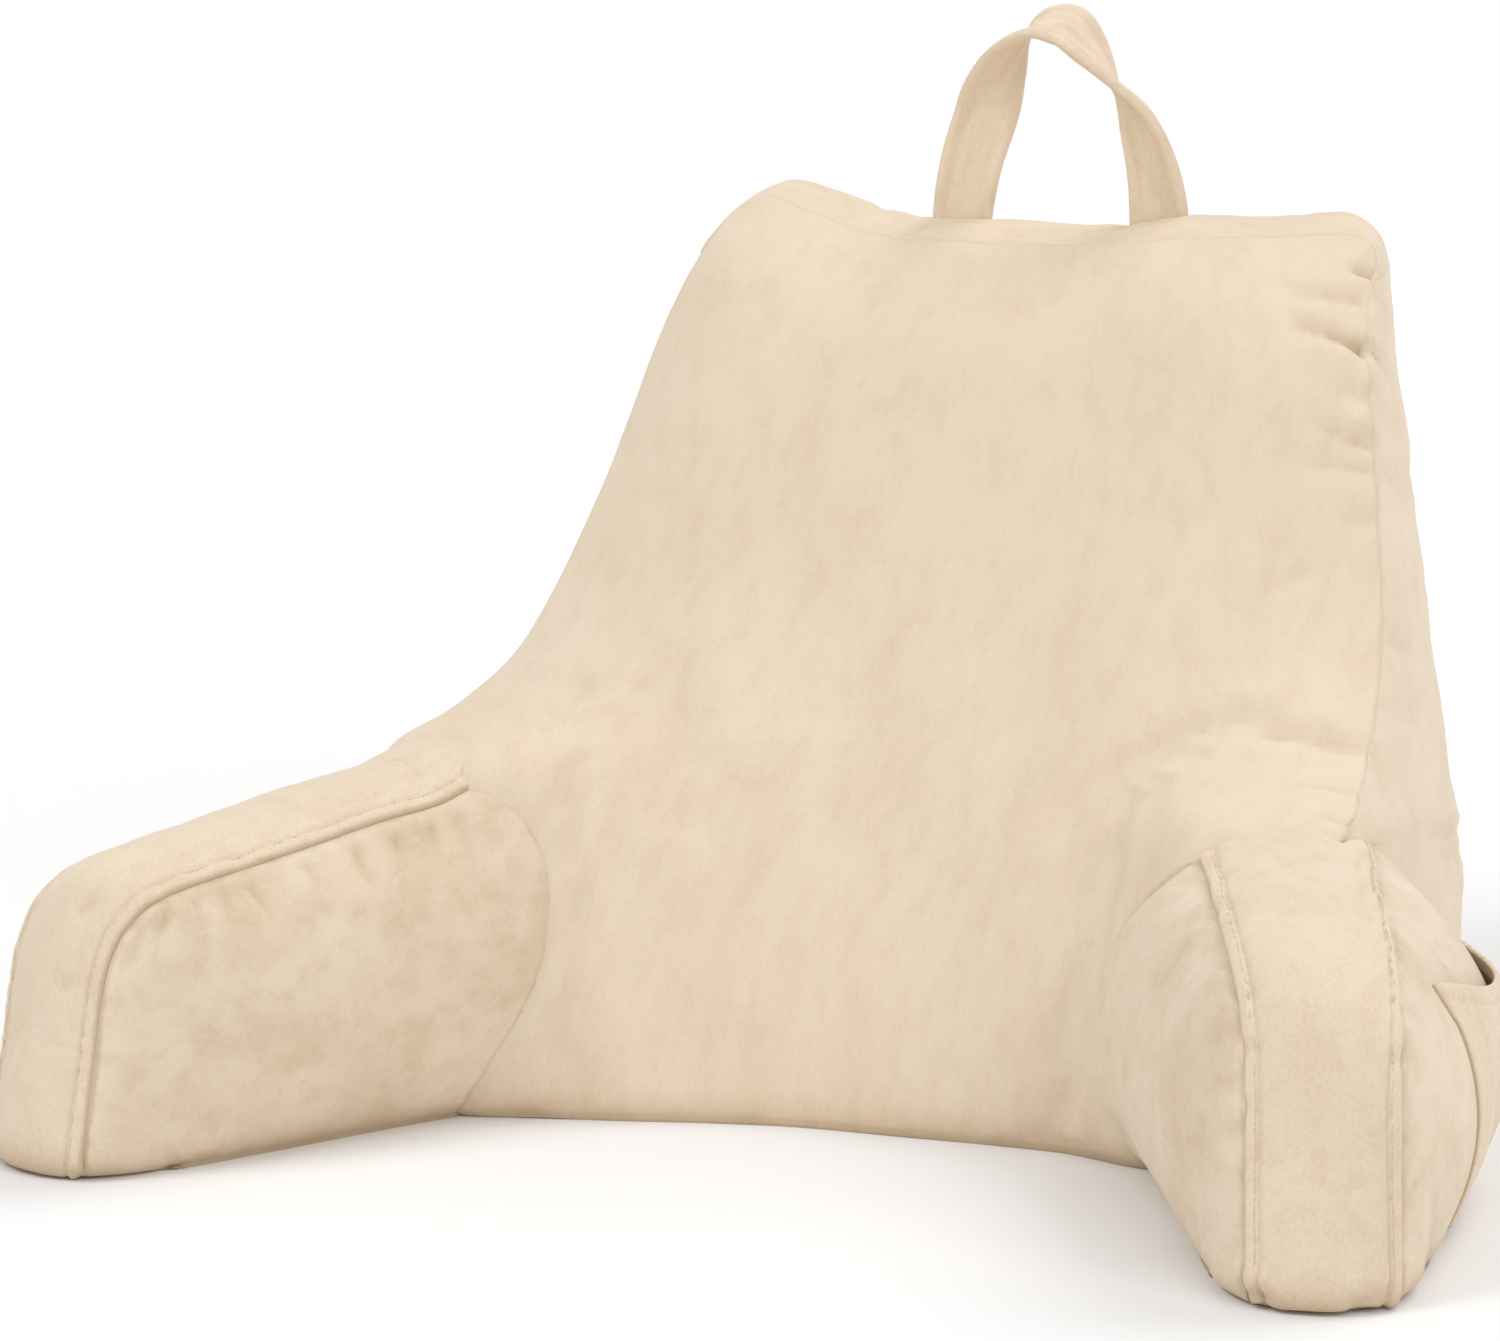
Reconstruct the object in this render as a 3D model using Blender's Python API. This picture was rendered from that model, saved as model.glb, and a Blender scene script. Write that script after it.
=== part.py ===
"""Reading pillow with arms: a leaning stuffed backrest, two stuffed arms with a lapped
band over the top and front, a carry handle and a side pocket.

Metres, +Z up. The sitter faces -Y and the backrest stands toward +Y. The origin lies on
the floor at the middle of the footprint.
"""
import math

import bmesh
import bpy
import numpy as np

# ---------------------------------------------------------------- driving sizes (metres)
TRIM_GAP = 0.00045                # clearance between a piece and the backrest it meets
CLOTH = 0.002                     # thickness of the lapped bands and the pocket
STRAP_THICK = 0.0035              # the handle is cloth folded on itself
STRAP_WIDTH = 0.036
FOOTPRINT_CENTRE = (0.0062, 0.1297)  # middle of the footprint in the drafting frame below

# Drafting frame: x = 0 on the centre line, y = 0 a little ahead of the backrest's foot.

# Backrest front panel. half_l, half_r: the side seams' distance from the centre line. The
# next columns say how far back the panel lies at the side seams, at 3/4 and 1/2 of the
# half width, and on the centre line.
#  height  half_l  half_r  side_l  flank_l  inner_l  middle  inner_r  flank_r  side_r
FRONT_PANEL = np.array([
    (0.000, 0.246, 0.246, 0.090, 0.014, 0.029, 0.060, 0.064, 0.050, 0.090),
    (0.050, 0.256, 0.258, 0.082, 0.024, 0.048, 0.087, 0.078, 0.048, 0.080),
    (0.090, 0.261, 0.265, 0.078, 0.034, 0.066, 0.114, 0.088, 0.050, 0.074),
    (0.140, 0.266, 0.272, 0.078, 0.047, 0.094, 0.149, 0.112, 0.060, 0.072),
    (0.160, 0.267, 0.276, 0.080, 0.054, 0.109, 0.163, 0.127, 0.066, 0.074),
    (0.175, 0.266, 0.278, 0.085, 0.064, 0.124, 0.175, 0.140, 0.078, 0.084),
    (0.185, 0.259, 0.271, 0.103, 0.087, 0.139, 0.183, 0.153, 0.104, 0.125),
    (0.195, 0.252, 0.261, 0.140, 0.122, 0.160, 0.192, 0.170, 0.146, 0.170),
    (0.210, 0.248, 0.253, 0.198, 0.172, 0.186, 0.204, 0.191, 0.184, 0.205),
    (0.230, 0.2455, 0.2465, 0.234, 0.211, 0.210, 0.219, 0.212, 0.213, 0.234),
    (0.260, 0.2390, 0.2385, 0.261, 0.243, 0.237, 0.240, 0.237, 0.243, 0.261),
    (0.300, 0.2290, 0.2280, 0.285, 0.268, 0.262, 0.264, 0.262, 0.268, 0.285),
    (0.340, 0.2200, 0.2190, 0.304, 0.288, 0.283, 0.285, 0.283, 0.288, 0.304),
    (0.380, 0.2105, 0.2100, 0.321, 0.307, 0.303, 0.305, 0.303, 0.307, 0.321),
    (0.410, 0.2030, 0.2020, 0.341, 0.325, 0.321, 0.322, 0.321, 0.325, 0.341),
    (0.430, 0.1985, 0.1970, 0.364, 0.347, 0.342, 0.343, 0.342, 0.347, 0.364),
    (0.445, 0.1955, 0.1930, 0.383, 0.369, 0.365, 0.366, 0.365, 0.369, 0.383),
    (0.460, 0.1935, 0.1900, 0.394, 0.389, 0.387, 0.387, 0.387, 0.389, 0.394)])
PANEL_STATIONS = (-1.0, -0.75, -0.5, 0.0, 0.5, 0.75, 1.0)

# Backrest back panel.
#  height  half_l  half_r  side    middle
BACK_PANEL = np.array([
    (0.000, 0.240, 0.240, 0.398, 0.404),
    (0.080, 0.240, 0.240, 0.405, 0.416),
    (0.165, 0.228, 0.228, 0.408, 0.422),
    (0.260, 0.210, 0.209, 0.412, 0.427),
    (0.350, 0.194, 0.192, 0.420, 0.434),
    (0.430, 0.180, 0.176, 0.432, 0.441),
    (0.460, 0.176, 0.170, 0.436, 0.440)])

TOP_HEIGHT = 0.455                # top seam above the floor at the left corner
# The top seam droops between the corners, most under the handle.
#  across   drop
TOP_DROOP = np.array([
    (-0.168, 0.000),
    (-0.140, 0.0095),
    (-0.107, 0.018),
    (-0.080, 0.021),
    (-0.020, 0.0215),
    (0.040, 0.0195),
    (0.082, 0.0135),
    (0.130, 0.0115),
    (0.160, 0.0085)])
DROOP_FROM = 0.300                # the droop dies out down to this height
CORNER_RADIUS = (0.036, 0.024)    # top corners, left and right
PANEL_PUFF = 0.012                # how far the stuffing rounds a panel off its seam
PUFF_ACROSS = 7                   # the higher, the closer the rounding keeps to the sides
PUFF_UP = 9                       # and to the top and bottom
GUSSET_CROWN = 0.009              # outward swell of the side and top strip
GUSSET_FROM = 0.05                # the swell dies out below this height

# Arms. Each row is one slice: the band's middle line (along, and its height on the left
# and the right arm), the foot of the slice, the half width of the band, then how far the
# inner and outer bellies and the inner and outer edges of the foot stand off the middle.
#  along   top_l   top_r   keel    band   in     out    foot_in foot_out
ARM_ROWS = np.array([
    (-0.210, 0.110, 0.110, -0.210, 0.022, 0.026, 0.020, 0.020, 0.020),
    (-0.150, 0.160, 0.150, -0.150, 0.036, 0.052, 0.044, 0.040, 0.036),
    (-0.110, 0.174, 0.160, -0.110, 0.041, 0.076, 0.070, 0.054, 0.054),
    (-0.070, 0.1735, 0.161, -0.070, 0.042, 0.089, 0.088, 0.062, 0.066),
    (-0.030, 0.1645, 0.160, -0.030, 0.042, 0.092, 0.096, 0.064, 0.074),
    (0.010, 0.1610, 0.158, 0.010, 0.042, 0.088, 0.097, 0.061, 0.077),
    (0.050, 0.1555, 0.156, 0.050, 0.042, 0.082, 0.092, 0.058, 0.075),
    (0.090, 0.1500, 0.152, 0.088, 0.041, 0.075, 0.084, 0.056, 0.069),
    (0.125, 0.1455, 0.147, 0.116, 0.040, 0.069, 0.076, 0.054, 0.063),
    (0.155, 0.1400, 0.139, 0.134, 0.039, 0.063, 0.068, 0.053, 0.0595),
    (0.176, 0.1280, 0.128, 0.143, 0.038, 0.059, 0.061, 0.052, 0.057),
    (0.188, 0.1090, 0.110, 0.148, 0.037, 0.056, 0.057, 0.051, 0.055),
    (0.194, 0.0860, 0.088, 0.151, 0.037, 0.054, 0.0535, 0.051, 0.0535),
    (0.198, 0.0600, 0.060, 0.153, 0.037, 0.052, 0.0515, 0.050, 0.0525),
    (0.203, 0.0320, 0.032, 0.155, 0.037, 0.050, 0.050, 0.050, 0.0515),
    (0.206, 0.0100, 0.010, 0.156, 0.037, 0.049, 0.0485, 0.049, 0.050),
    (0.205, 0.0000, 0.000, 0.157, 0.036, 0.047, 0.046, 0.048, 0.048)])
UPPER_FULLNESS = 0.60             # how squarely the bellies fill toward the band
LOWER_FULLNESS = 0.95             # and toward the floor
BAND_CROWN = 0.014                # swell of the band between its two seams

# Arm placing: root point on the floor, degrees turned out from -Y, stretch of the length.
ARM_PLACES = {
    "arm_left": ((-0.2545, 0.0150), -23.4, 0.99),
    "arm_right": ((0.2605, 0.0480), 23.3, 1.10)}

BAND_FOOT = 0.004                 # the band stops this far above the floor
BAND_ROOT = -0.130                # and runs into the seam with the backrest
BAND_GAP = 0.0008                 # between the band and the arm under it

# Pocket on the outer side of the right arm.
POCKET_FRONT = 0.100              # along the arm
POCKET_REAR = -0.070
POCKET_MOUTH_FRONT = 0.86         # height as a share of the arm's height
POCKET_MOUTH_REAR = 0.72
POCKET_BASE = 0.05
POCKET_STAND = 0.017              # how far the mouth stands off the arm
STAND_ALONG = 0.8                 # the lower, the squarer the stand along the mouth
STAND_UP = 0.9                    # the higher, the closer the stand keeps to the mouth
POCKET_SAG = 0.05                 # the mouth droops between its ends (share of height)
POCKET_GAP = 0.0009               # between the pocket and the arm at its seams

# Carry handle: the strap's middle line above the backrest and its twist.
#  across   height   twist_deg
HANDLE_ROWS = np.array([
    (-0.0655, -0.020, 0.0),
    (-0.0645, 0.000, 2.0),
    (-0.0600, 0.026, 6.0),
    (-0.0515, 0.052, 15.0),
    (-0.0430, 0.0785, 52.0),
    (-0.0330, 0.0975, 88.0),
    (-0.0170, 0.1085, 112.0),
    (-0.0030, 0.1075, 122.0),
    (0.0090, 0.0960, 108.0),
    (0.0255, 0.0755, 74.0),
    (0.0400, 0.0525, 36.0),
    (0.0495, 0.0254, 14.0),
    (0.0535, 0.000, 3.0),
    (0.0540, -0.020, 0.0)])
HANDLE_BASE = 0.446               # height of the handle's foot
HANDLE_BACK = 0.418               # distance back of the handle's middle line

# Mesh fineness.
PANEL_ROWS = 30
PANEL_COLUMNS = 26
GUSSET_STEPS = 5
ARM_SLICES = 26
SIDE_STEPS = 8
BAND_STEPS = 5
FOOT_STEPS = 2
HANDLE_STEPS = 36
POCKET_COLUMNS = 12
POCKET_ROWS = 10
OUTLINE_POINTS = 400              # fine points on an outline before it is read evenly
ARC_POINTS = 40                   # on each half of a top corner's arc

CLOTH_COLOUR = (0.80, 0.66, 0.49)
STRAP_COLOUR = (0.76, 0.62, 0.45)
CLOTH_ROUGHNESS = 0.92


# ---------------------------------------------------------------- curves and tables
def smooth(knots, values, at):
    """Monotone cubic through (knots, values), read at the places in at.

    values holds one number for each knot, or one array of at's shape for each knot.
    """
    knots = np.asarray(knots, float)
    values = np.asarray(values, float)
    at = np.clip(at, knots[0], knots[-1])
    width = np.diff(knots)
    spread = width.reshape((-1,) + (1,) * (values.ndim - 1))
    slope = np.diff(values, axis=0) / spread
    before = slope[:-1]
    after = slope[1:]
    same_way = before * after > 0
    both = np.where(same_way, before + after, 1.0)
    tangent = np.zeros_like(values)
    tangent[0] = slope[0]
    tangent[-1] = slope[-1]
    tangent[1:-1] = np.where(same_way, 2 * before * after / both, 0.0)
    cell = np.clip(np.searchsorted(knots, at, side="right") - 1, 0, len(width) - 1)

    def pick(array, shift=0):
        if array.ndim == 1:
            return array[cell + shift]
        return np.take_along_axis(array, (cell + shift)[None], 0)[0]

    t = (at - knots[cell]) / width[cell]
    rise = t * (1 - t) ** 2 * width[cell] * pick(tangent)
    fall = t * t * (1 - t) * width[cell] * pick(tangent, 1)
    return ((1 + 2 * t) * (1 - t) ** 2 * pick(values) + rise
            + t * t * (3 - 2 * t) * pick(values, 1) - fall)


def column(table, index, height):
    """One column of a table that is read by height."""
    return smooth(table[:, 0], table[:, index], height)


def placed(points):
    """Drafting frame to the part's own frame."""
    shift = np.array((FOOTPRINT_CENTRE[0], FOOTPRINT_CENTRE[1], 0.0))
    return np.asarray(points, float) - shift


# ---------------------------------------------------------------- backrest surface
def share_across(table, x, z):
    """x as a share of the half width at z, -1 at the left seam and 1 at the right."""
    half = np.where(x < 0, column(table, 1, z), column(table, 2, z))
    return np.clip(x / half, -1.0, 1.0)


def front_depth(x, z):
    """How far back the front panel lies at (x, z), read across seven stations."""
    x, z = np.broadcast_arrays(x, z)
    across = share_across(FRONT_PANEL, x, z)
    stations = np.stack([column(FRONT_PANEL, i, z) for i in range(3, 10)])
    return smooth(PANEL_STATIONS, stations, across)


def back_depth(x, z):
    """How far back the back panel lies at (x, z): a shallow crown across."""
    side = column(BACK_PANEL, 3, z)
    middle = column(BACK_PANEL, 4, z)
    across = share_across(BACK_PANEL, x, z)
    return middle + (side - middle) * across ** 2


def panel_outline(table, rows, columns):
    """Seam outline of a panel as four edges in (x, z): bottom, right, top, left."""
    fine = np.linspace(0.0, 1.0, OUTLINE_POINTS)
    edges = {}
    corner = {}
    for sign, radius, half in zip((-1, 1), CORNER_RADIUS, (1, 2)):
        straight_top = TOP_HEIGHT - radius
        z = straight_top * fine
        side = np.stack([sign * column(table, half, z), z], 1)
        # quarter arc from the side to the top: its first half ends the side edge and
        # its second half starts the top edge
        end = side[-1]
        turn = np.linspace(0.0, math.pi / 2, 2 * ARC_POINTS + 1)
        arc = np.stack([end[0] - sign * radius * (1 - np.cos(turn)),
                        end[1] + radius * np.sin(turn)], 1)
        edges[sign] = np.concatenate([side, arc[1:ARC_POINTS + 1]])
        corner[sign] = arc[ARC_POINTS:]
    straight = np.linspace(corner[-1][-1, 0], corner[1][-1, 0], OUTLINE_POINTS)
    top = np.stack([straight, np.full_like(straight, TOP_HEIGHT)], 1)
    top = np.concatenate([corner[-1], top[1:-1], corner[1][::-1]])
    bottom_x = np.linspace(-table[0, 1], table[0, 2], OUTLINE_POINTS)
    bottom = np.stack([bottom_x, np.zeros_like(bottom_x)], 1)
    return (evenly(bottom, columns), evenly(edges[1], rows), evenly(top, columns),
            evenly(edges[-1], rows))


def evenly(line, count):
    """The polyline read at count + 1 even distances."""
    step = np.sqrt((np.diff(line, axis=0) ** 2).sum(1))
    run = np.concatenate([[0.0], np.cumsum(step)])
    want = np.linspace(0.0, run[-1], count + 1)
    return np.stack([np.interp(want, run, line[:, i]) for i in range(line.shape[1])], 1)


def deepened(outline, depth):
    """Side edges re-read so that their rows are even along the real, sloping seam."""
    bottom, right, top, left = outline
    sides = []
    for edge in (right, left):
        dense = evenly(edge, OUTLINE_POINTS)
        solid = np.column_stack([dense[:, 0], depth(dense[:, 0], dense[:, 1]), dense[:, 1]])
        again = evenly(solid, len(edge) - 1)
        sides.append(again[:, [0, 2]])
    return bottom, sides[0], top, sides[1]


def panel_grid(outline):
    """Coons patch: (rows + 1, columns + 1, 2) places in (x, z) inside the outline."""
    bottom, right, top, left = outline
    rows = len(right)
    columns = len(bottom)
    v = np.linspace(0, 1, rows)[:, None, None]
    u = np.linspace(0, 1, columns)[None, :, None]
    ruled_v = (1 - v) * bottom[None] + v * top[None]
    ruled_u = (1 - u) * left[:, None] + u * right[:, None]
    corners = ((1 - u) * (1 - v) * bottom[0] + u * (1 - v) * bottom[-1]
               + (1 - u) * v * top[0] + u * v * top[-1])
    return ruled_v + ruled_u - corners


def drooped(points):
    """Lower the upper part of the backrest by the droop of its top seam."""
    share = np.clip((points[..., 2] - DROOP_FROM) / (TOP_HEIGHT - DROOP_FROM), 0, 1)
    drop = smooth(TOP_DROOP[:, 0], TOP_DROOP[:, 1], points[..., 0])
    lowered = points.copy()
    lowered[..., 2] -= drop * share * share * (3 - 2 * share)
    return lowered


def puff(rows, columns):
    """0 on the seams, 1 well inside: the stuffing rounds the panel off its seams."""
    v = np.linspace(0, 1, rows + 1)[:, None]
    u = np.linspace(-1, 1, columns + 1)[None, :]
    return (1 - np.abs(u) ** PUFF_ACROSS) * (1 - (2 * np.abs(v - 0.5)) ** PUFF_UP)


def backrest_grids(rows, columns, steps):
    """Front panel, back panel and the gusset strips between their edges."""
    front_xz = panel_grid(deepened(panel_outline(FRONT_PANEL, rows, columns), front_depth))
    back_xz = panel_grid(panel_outline(BACK_PANEL, rows, columns))
    swell = puff(rows, columns) * PANEL_PUFF
    front = np.stack([front_xz[..., 0], front_depth(front_xz[..., 0], front_xz[..., 1]) - swell,
                      front_xz[..., 1]], -1)
    back = np.stack([back_xz[..., 0], back_depth(back_xz[..., 0], back_xz[..., 1]) + swell,
                     back_xz[..., 1]], -1)
    loop_front = loop_of(front)
    loop_back = loop_of(back)
    height = loop_front[:, 2]
    lift = np.clip(height / GUSSET_FROM, 0, 1)
    lift = lift * lift * (3 - 2 * lift)
    ahead = np.roll(loop_front, -1, 0) - np.roll(loop_front, 1, 0)
    normal = np.stack([ahead[:, 2], np.zeros(len(ahead)), -ahead[:, 0]], 1)
    normal /= np.maximum(np.linalg.norm(normal, axis=1), 1e-9)[:, None]
    t = np.linspace(0, 1, steps + 1)[:, None, None]
    gusset = loop_front * (1 - t) + loop_back * t
    gusset = gusset + normal * (lift[:, None] * GUSSET_CROWN) * 4 * t * (1 - t)
    return drooped(front), drooped(back), drooped(gusset)


def loop_of(grid):
    """The outer points of a grid, counter-clockwise seen from the front (-Y)."""
    bottom = grid[0, :-1]
    right = grid[:-1, -1]
    top = grid[-1, :0:-1]
    left = grid[:0:-1, 0]
    return np.concatenate([bottom, right, top, left])


def loop_indices(rows, columns):
    index = np.arange((rows + 1) * (columns + 1)).reshape(rows + 1, columns + 1)
    return loop_of(index)


def backrest_mesh(rows, columns, steps):
    """Closed body: the two panels, and rings of the gusset between their outer loops."""
    front, back, gusset = backrest_grids(rows, columns, steps)
    points = [front.reshape(-1, 3), back.reshape(-1, 3)]
    per_panel = (rows + 1) * (columns + 1)
    loop = loop_indices(rows, columns)
    rings = [loop]
    start = 2 * per_panel
    for strip in gusset[1:-1]:
        points.append(strip)
        rings.append(np.arange(start, start + len(strip)))
        start += len(strip)
    rings.append(loop + per_panel)
    faces = []
    for r in range(rows):
        for c in range(columns):
            a = r * (columns + 1) + c
            b = a + columns + 1
            faces.append((a, a + 1, b + 1, b))
            faces.append((per_panel + a, per_panel + b, per_panel + b + 1, per_panel + a + 1))
    for near, far in zip(rings[:-1], rings[1:]):
        for i in range(len(near)):
            j = (i + 1) % len(near)
            faces.append((near[i], far[i], far[j], near[j]))
    return np.concatenate(points), [tuple(int(k) for k in f) for f in faces]


# ---------------------------------------------------------------- arm surface
def arm_frame(name):
    """Root point, unit directions along and outward, and stretch of one arm."""
    (root_x, root_y), turn, stretch = ARM_PLACES[name]
    angle = math.radians(turn)
    along = np.array((math.sin(angle), -math.cos(angle), 0.0))
    side = 1.0 if turn > 0 else -1.0
    outward = np.array((-along[1], along[0], 0.0)) * side
    return np.array((root_x, root_y, 0.0)), along, outward, stretch


def arm_run():
    """Distance run along the band's middle line for each table row."""
    step = np.hypot(np.diff(ARM_ROWS[:, 0]), np.diff(ARM_ROWS[:, 1]))
    return np.concatenate([[0.0], np.cumsum(step)])


def run_at(along):
    """Run of the slice at a distance along: every row but the last moves forward."""
    return np.interp(along, ARM_ROWS[:-1, 0], arm_run()[:-1])


def arm_section(name, run, across, up):
    """Arm-frame point (along, outward, height) of slice run at (across, up).

    across -1..1 runs from the inner to the outer side, up 0..1 from foot to band. On the
    sides across is -1 or 1, on the band up is 1.
    """
    knots = arm_run()
    top_along, left_top, right_top, keel, band, belly_in, belly_out, foot_in, foot_out = (
        smooth(knots, ARM_ROWS[:, i], run) for i in range(9))
    top_height = left_top if name == "arm_left" else right_top
    belly = np.where(across < 0, belly_in, belly_out)
    foot = np.where(across < 0, foot_in, foot_out)
    fullness = LOWER_FULLNESS + (UPPER_FULLNESS - LOWER_FULLNESS) * up
    swell = np.sin(np.pi * np.clip(up, 0, 1)) ** fullness
    half = foot + (band - foot) * up + (belly - (foot + band) / 2) * swell
    sideways = across * half
    crown = BAND_CROWN * (1 - across ** 2) * up
    length = np.hypot(top_along - keel, top_height)
    share = up + crown / np.maximum(length, 1e-6)
    along = keel + (top_along - keel) * share
    height = top_height * share
    return np.stack([along, sideways, np.maximum(height, 0.0)], -1)


def arm_ring_parameters(side_steps, band_steps, foot_steps):
    """(across, up) round one slice: outer side up, band inward, inner side down, foot out."""
    rise = 0.5 - 0.5 * np.cos(np.linspace(0, np.pi, side_steps + 1))
    rise = 0.5 * rise + 0.5 * np.linspace(0, 1, side_steps + 1)
    outer = [(1.0, u) for u in rise]
    band = [(a, 1.0) for a in np.linspace(1, -1, band_steps + 1)[1:]]
    inner = [(-1.0, u) for u in rise[::-1][1:]]
    foot = [(a, 0.0) for a in np.linspace(-1, 1, foot_steps + 1)[1:-1]]
    return np.array(outer + band + inner + foot)


def arm_to_drafting(name, local):
    root, along, outward, stretch = arm_frame(name)
    reach = np.where(local[..., 0] > 0, local[..., 0] * stretch, local[..., 0])
    return (root + reach[..., None] * along + local[..., 1:2] * outward
            + local[..., 2:3] * np.array((0.0, 0.0, 1.0)))


def arm_rings(name, slices):
    """Rings of points round the arm, one ring for each fan slice."""
    run = arm_run()
    stops = np.linspace(0, run[-1], slices + 1)
    ring = arm_ring_parameters(SIDE_STEPS, BAND_STEPS, FOOT_STEPS)
    local = arm_section(name, stops[:, None], ring[None, :, 0], ring[None, :, 1])
    return arm_to_drafting(name, local)


# ---------------------------------------------------------------- meshes and objects
def material(name, colour):
    made = bpy.data.materials.new(name)
    made.use_nodes = True
    shader = made.node_tree.nodes["Principled BSDF"]
    shader.inputs["Base Color"].default_value = (*colour, 1.0)
    shader.inputs["Roughness"].default_value = CLOTH_ROUGHNESS
    shader.inputs["Metallic"].default_value = 0.0
    made.diffuse_color = (*colour, 1.0)
    return made


def collection(name):
    made = bpy.data.collections.new(name)
    bpy.context.scene.collection.children.link(made)
    return made


def mesh_object(name, points, faces, skin, home):
    mesh = bpy.data.meshes.new(name)
    mesh.from_pydata([tuple(p) for p in placed(points)], [], faces)
    work = bmesh.new()
    work.from_mesh(mesh)
    bmesh.ops.recalc_face_normals(work, faces=work.faces)
    bmesh.ops.triangulate(work, faces=work.faces, quad_method="FIXED")
    work.to_mesh(mesh)
    work.free()
    mesh.shade_smooth()
    made = bpy.data.objects.new(name, mesh)
    home.objects.link(made)
    if skin is not None:
        mesh.materials.append(skin)
    return made


def loft(rings):
    """Closed body through rings of equal count, with a fan over each end."""
    count, around = rings.shape[:2]
    points = list(rings.reshape(-1, 3))
    faces = []
    for r in range(count - 1):
        for i in range(around):
            j = (i + 1) % around
            a = r * around
            faces.append((a + i, a + j, a + around + j, a + around + i))
    for ring_start, middle in ((0, rings[0].mean(0)), ((count - 1) * around, rings[-1].mean(0))):
        hub = len(points)
        points.append(middle)
        for i in range(around):
            faces.append((ring_start + i, ring_start + (i + 1) % around, hub))
    return np.array(points), faces


def sheet(outer, inner):
    """Closed sheet between two grids of the same shape."""
    rows, columns = outer.shape[:2]
    points = np.concatenate([outer.reshape(-1, 3), inner.reshape(-1, 3)])
    under = rows * columns
    faces = []
    for r in range(rows - 1):
        for c in range(columns - 1):
            a = r * columns + c
            b = a + columns
            faces.append((a, a + 1, b + 1, b))
            faces.append((under + a, under + b, under + b + 1, under + a + 1))
    rim = loop_indices(rows - 1, columns - 1)
    for i in range(len(rim)):
        a = int(rim[i])
        b = int(rim[(i + 1) % len(rim)])
        faces.append((a, under + a, under + b, b))
    return points, faces


def grid_normals(grid):
    """Unit normals of a grid of points, from its two directions."""
    down = np.gradient(grid, axis=0)
    over = np.gradient(grid, axis=1)
    normal = np.cross(down, over)
    return normal / np.maximum(np.linalg.norm(normal, axis=-1, keepdims=True), 1e-12)


def cutter_from(solid, home, clearance):
    """Copy of a solid swollen by the clearance, to trim a neighbour against it."""
    mesh = solid.data.copy()
    made = bpy.data.objects.new(solid.name + "_cutter", mesh)
    home.objects.link(made)
    normals = np.array([v.normal[:] for v in mesh.vertices])
    spots = np.array([v.co[:] for v in mesh.vertices])
    mesh.vertices.foreach_set("co", (spots + normals * clearance).ravel())
    mesh.update()
    made.hide_render = True
    made.display_type = "WIRE"
    return made


def trim(target, cutter):
    """Cut a piece back where the backrest stands in it."""
    cut = target.modifiers.new("trim", "BOOLEAN")
    cut.operation = "DIFFERENCE"
    cut.solver = "EXACT"
    cut.object = cutter


# ---------------------------------------------------------------- sub-parts
def build_backrest(skin, home):
    points, faces = backrest_mesh(PANEL_ROWS, PANEL_COLUMNS, GUSSET_STEPS)
    return mesh_object("back_cushion", points, faces, skin, home)


def build_arm(name, skin, home, cutter):
    points, faces = loft(arm_rings(name, ARM_SLICES))
    made = mesh_object(name, points, faces, skin, home)
    trim(made, cutter)
    return made


def band_grid(name, lift):
    """Band over the arm's top and front, raised off the arm by lift."""
    run = arm_run()
    stops = np.linspace(0, run[-1], ARM_SLICES + 1)
    stops = stops[stops > run_at(BAND_ROOT)]
    stops[-1] = run[-1] - BAND_FOOT
    across = np.linspace(-1, 1, BAND_STEPS + 1)
    local = arm_section(name, stops[:, None], across[None, :], np.ones((1, BAND_STEPS + 1)))
    grid = arm_to_drafting(name, local)
    normal = grid_normals(grid)
    if normal[0, BAND_STEPS // 2, 2] < 0:
        normal = -normal
    return grid + normal * lift


def build_band(arm_name, skin, home, cutter):
    inner = band_grid(arm_name, BAND_GAP)
    outer = band_grid(arm_name, BAND_GAP + CLOTH)
    points, faces = sheet(outer, inner)
    made = mesh_object(arm_name + "_band", points, faces, skin, home)
    trim(made, cutter)
    return made


def handle_grid(steps):
    """Strap middle line with its width direction turned by the twist."""
    step = np.hypot(np.diff(HANDLE_ROWS[:, 0]), np.diff(HANDLE_ROWS[:, 1]))
    run = np.concatenate([[0.0], np.cumsum(step)])
    at = np.linspace(0, run[-1], steps + 1)
    x = smooth(run, HANDLE_ROWS[:, 0], at)
    z = smooth(run, HANDLE_ROWS[:, 1], at)
    twist = np.radians(smooth(run, HANDLE_ROWS[:, 2], at))
    middle = np.stack([x, np.full_like(x, HANDLE_BACK), z + HANDLE_BASE], 1)
    ahead = np.gradient(middle, axis=0)
    ahead /= np.linalg.norm(ahead, axis=1)[:, None]
    outward = np.stack([-ahead[:, 2], np.zeros_like(x), ahead[:, 0]], 1)
    forward = np.array((0.0, -1.0, 0.0))
    across = np.cos(twist)[:, None] * outward + np.sin(twist)[:, None] * forward
    return middle, across, np.cross(ahead, across)


def build_handle(skin, home, cutter):
    middle, across, face = handle_grid(HANDLE_STEPS)
    rings = np.stack([middle + across * sx * STRAP_WIDTH / 2 + face * sy * STRAP_THICK / 2
                      for sx, sy in ((-1, -1), (0, -1), (1, -1), (1, 1), (0, 1), (-1, 1))], 1)
    points, faces = loft(rings)
    made = mesh_object("carry_handle", points, faces, skin, home)
    trim(made, cutter)
    return made


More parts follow.
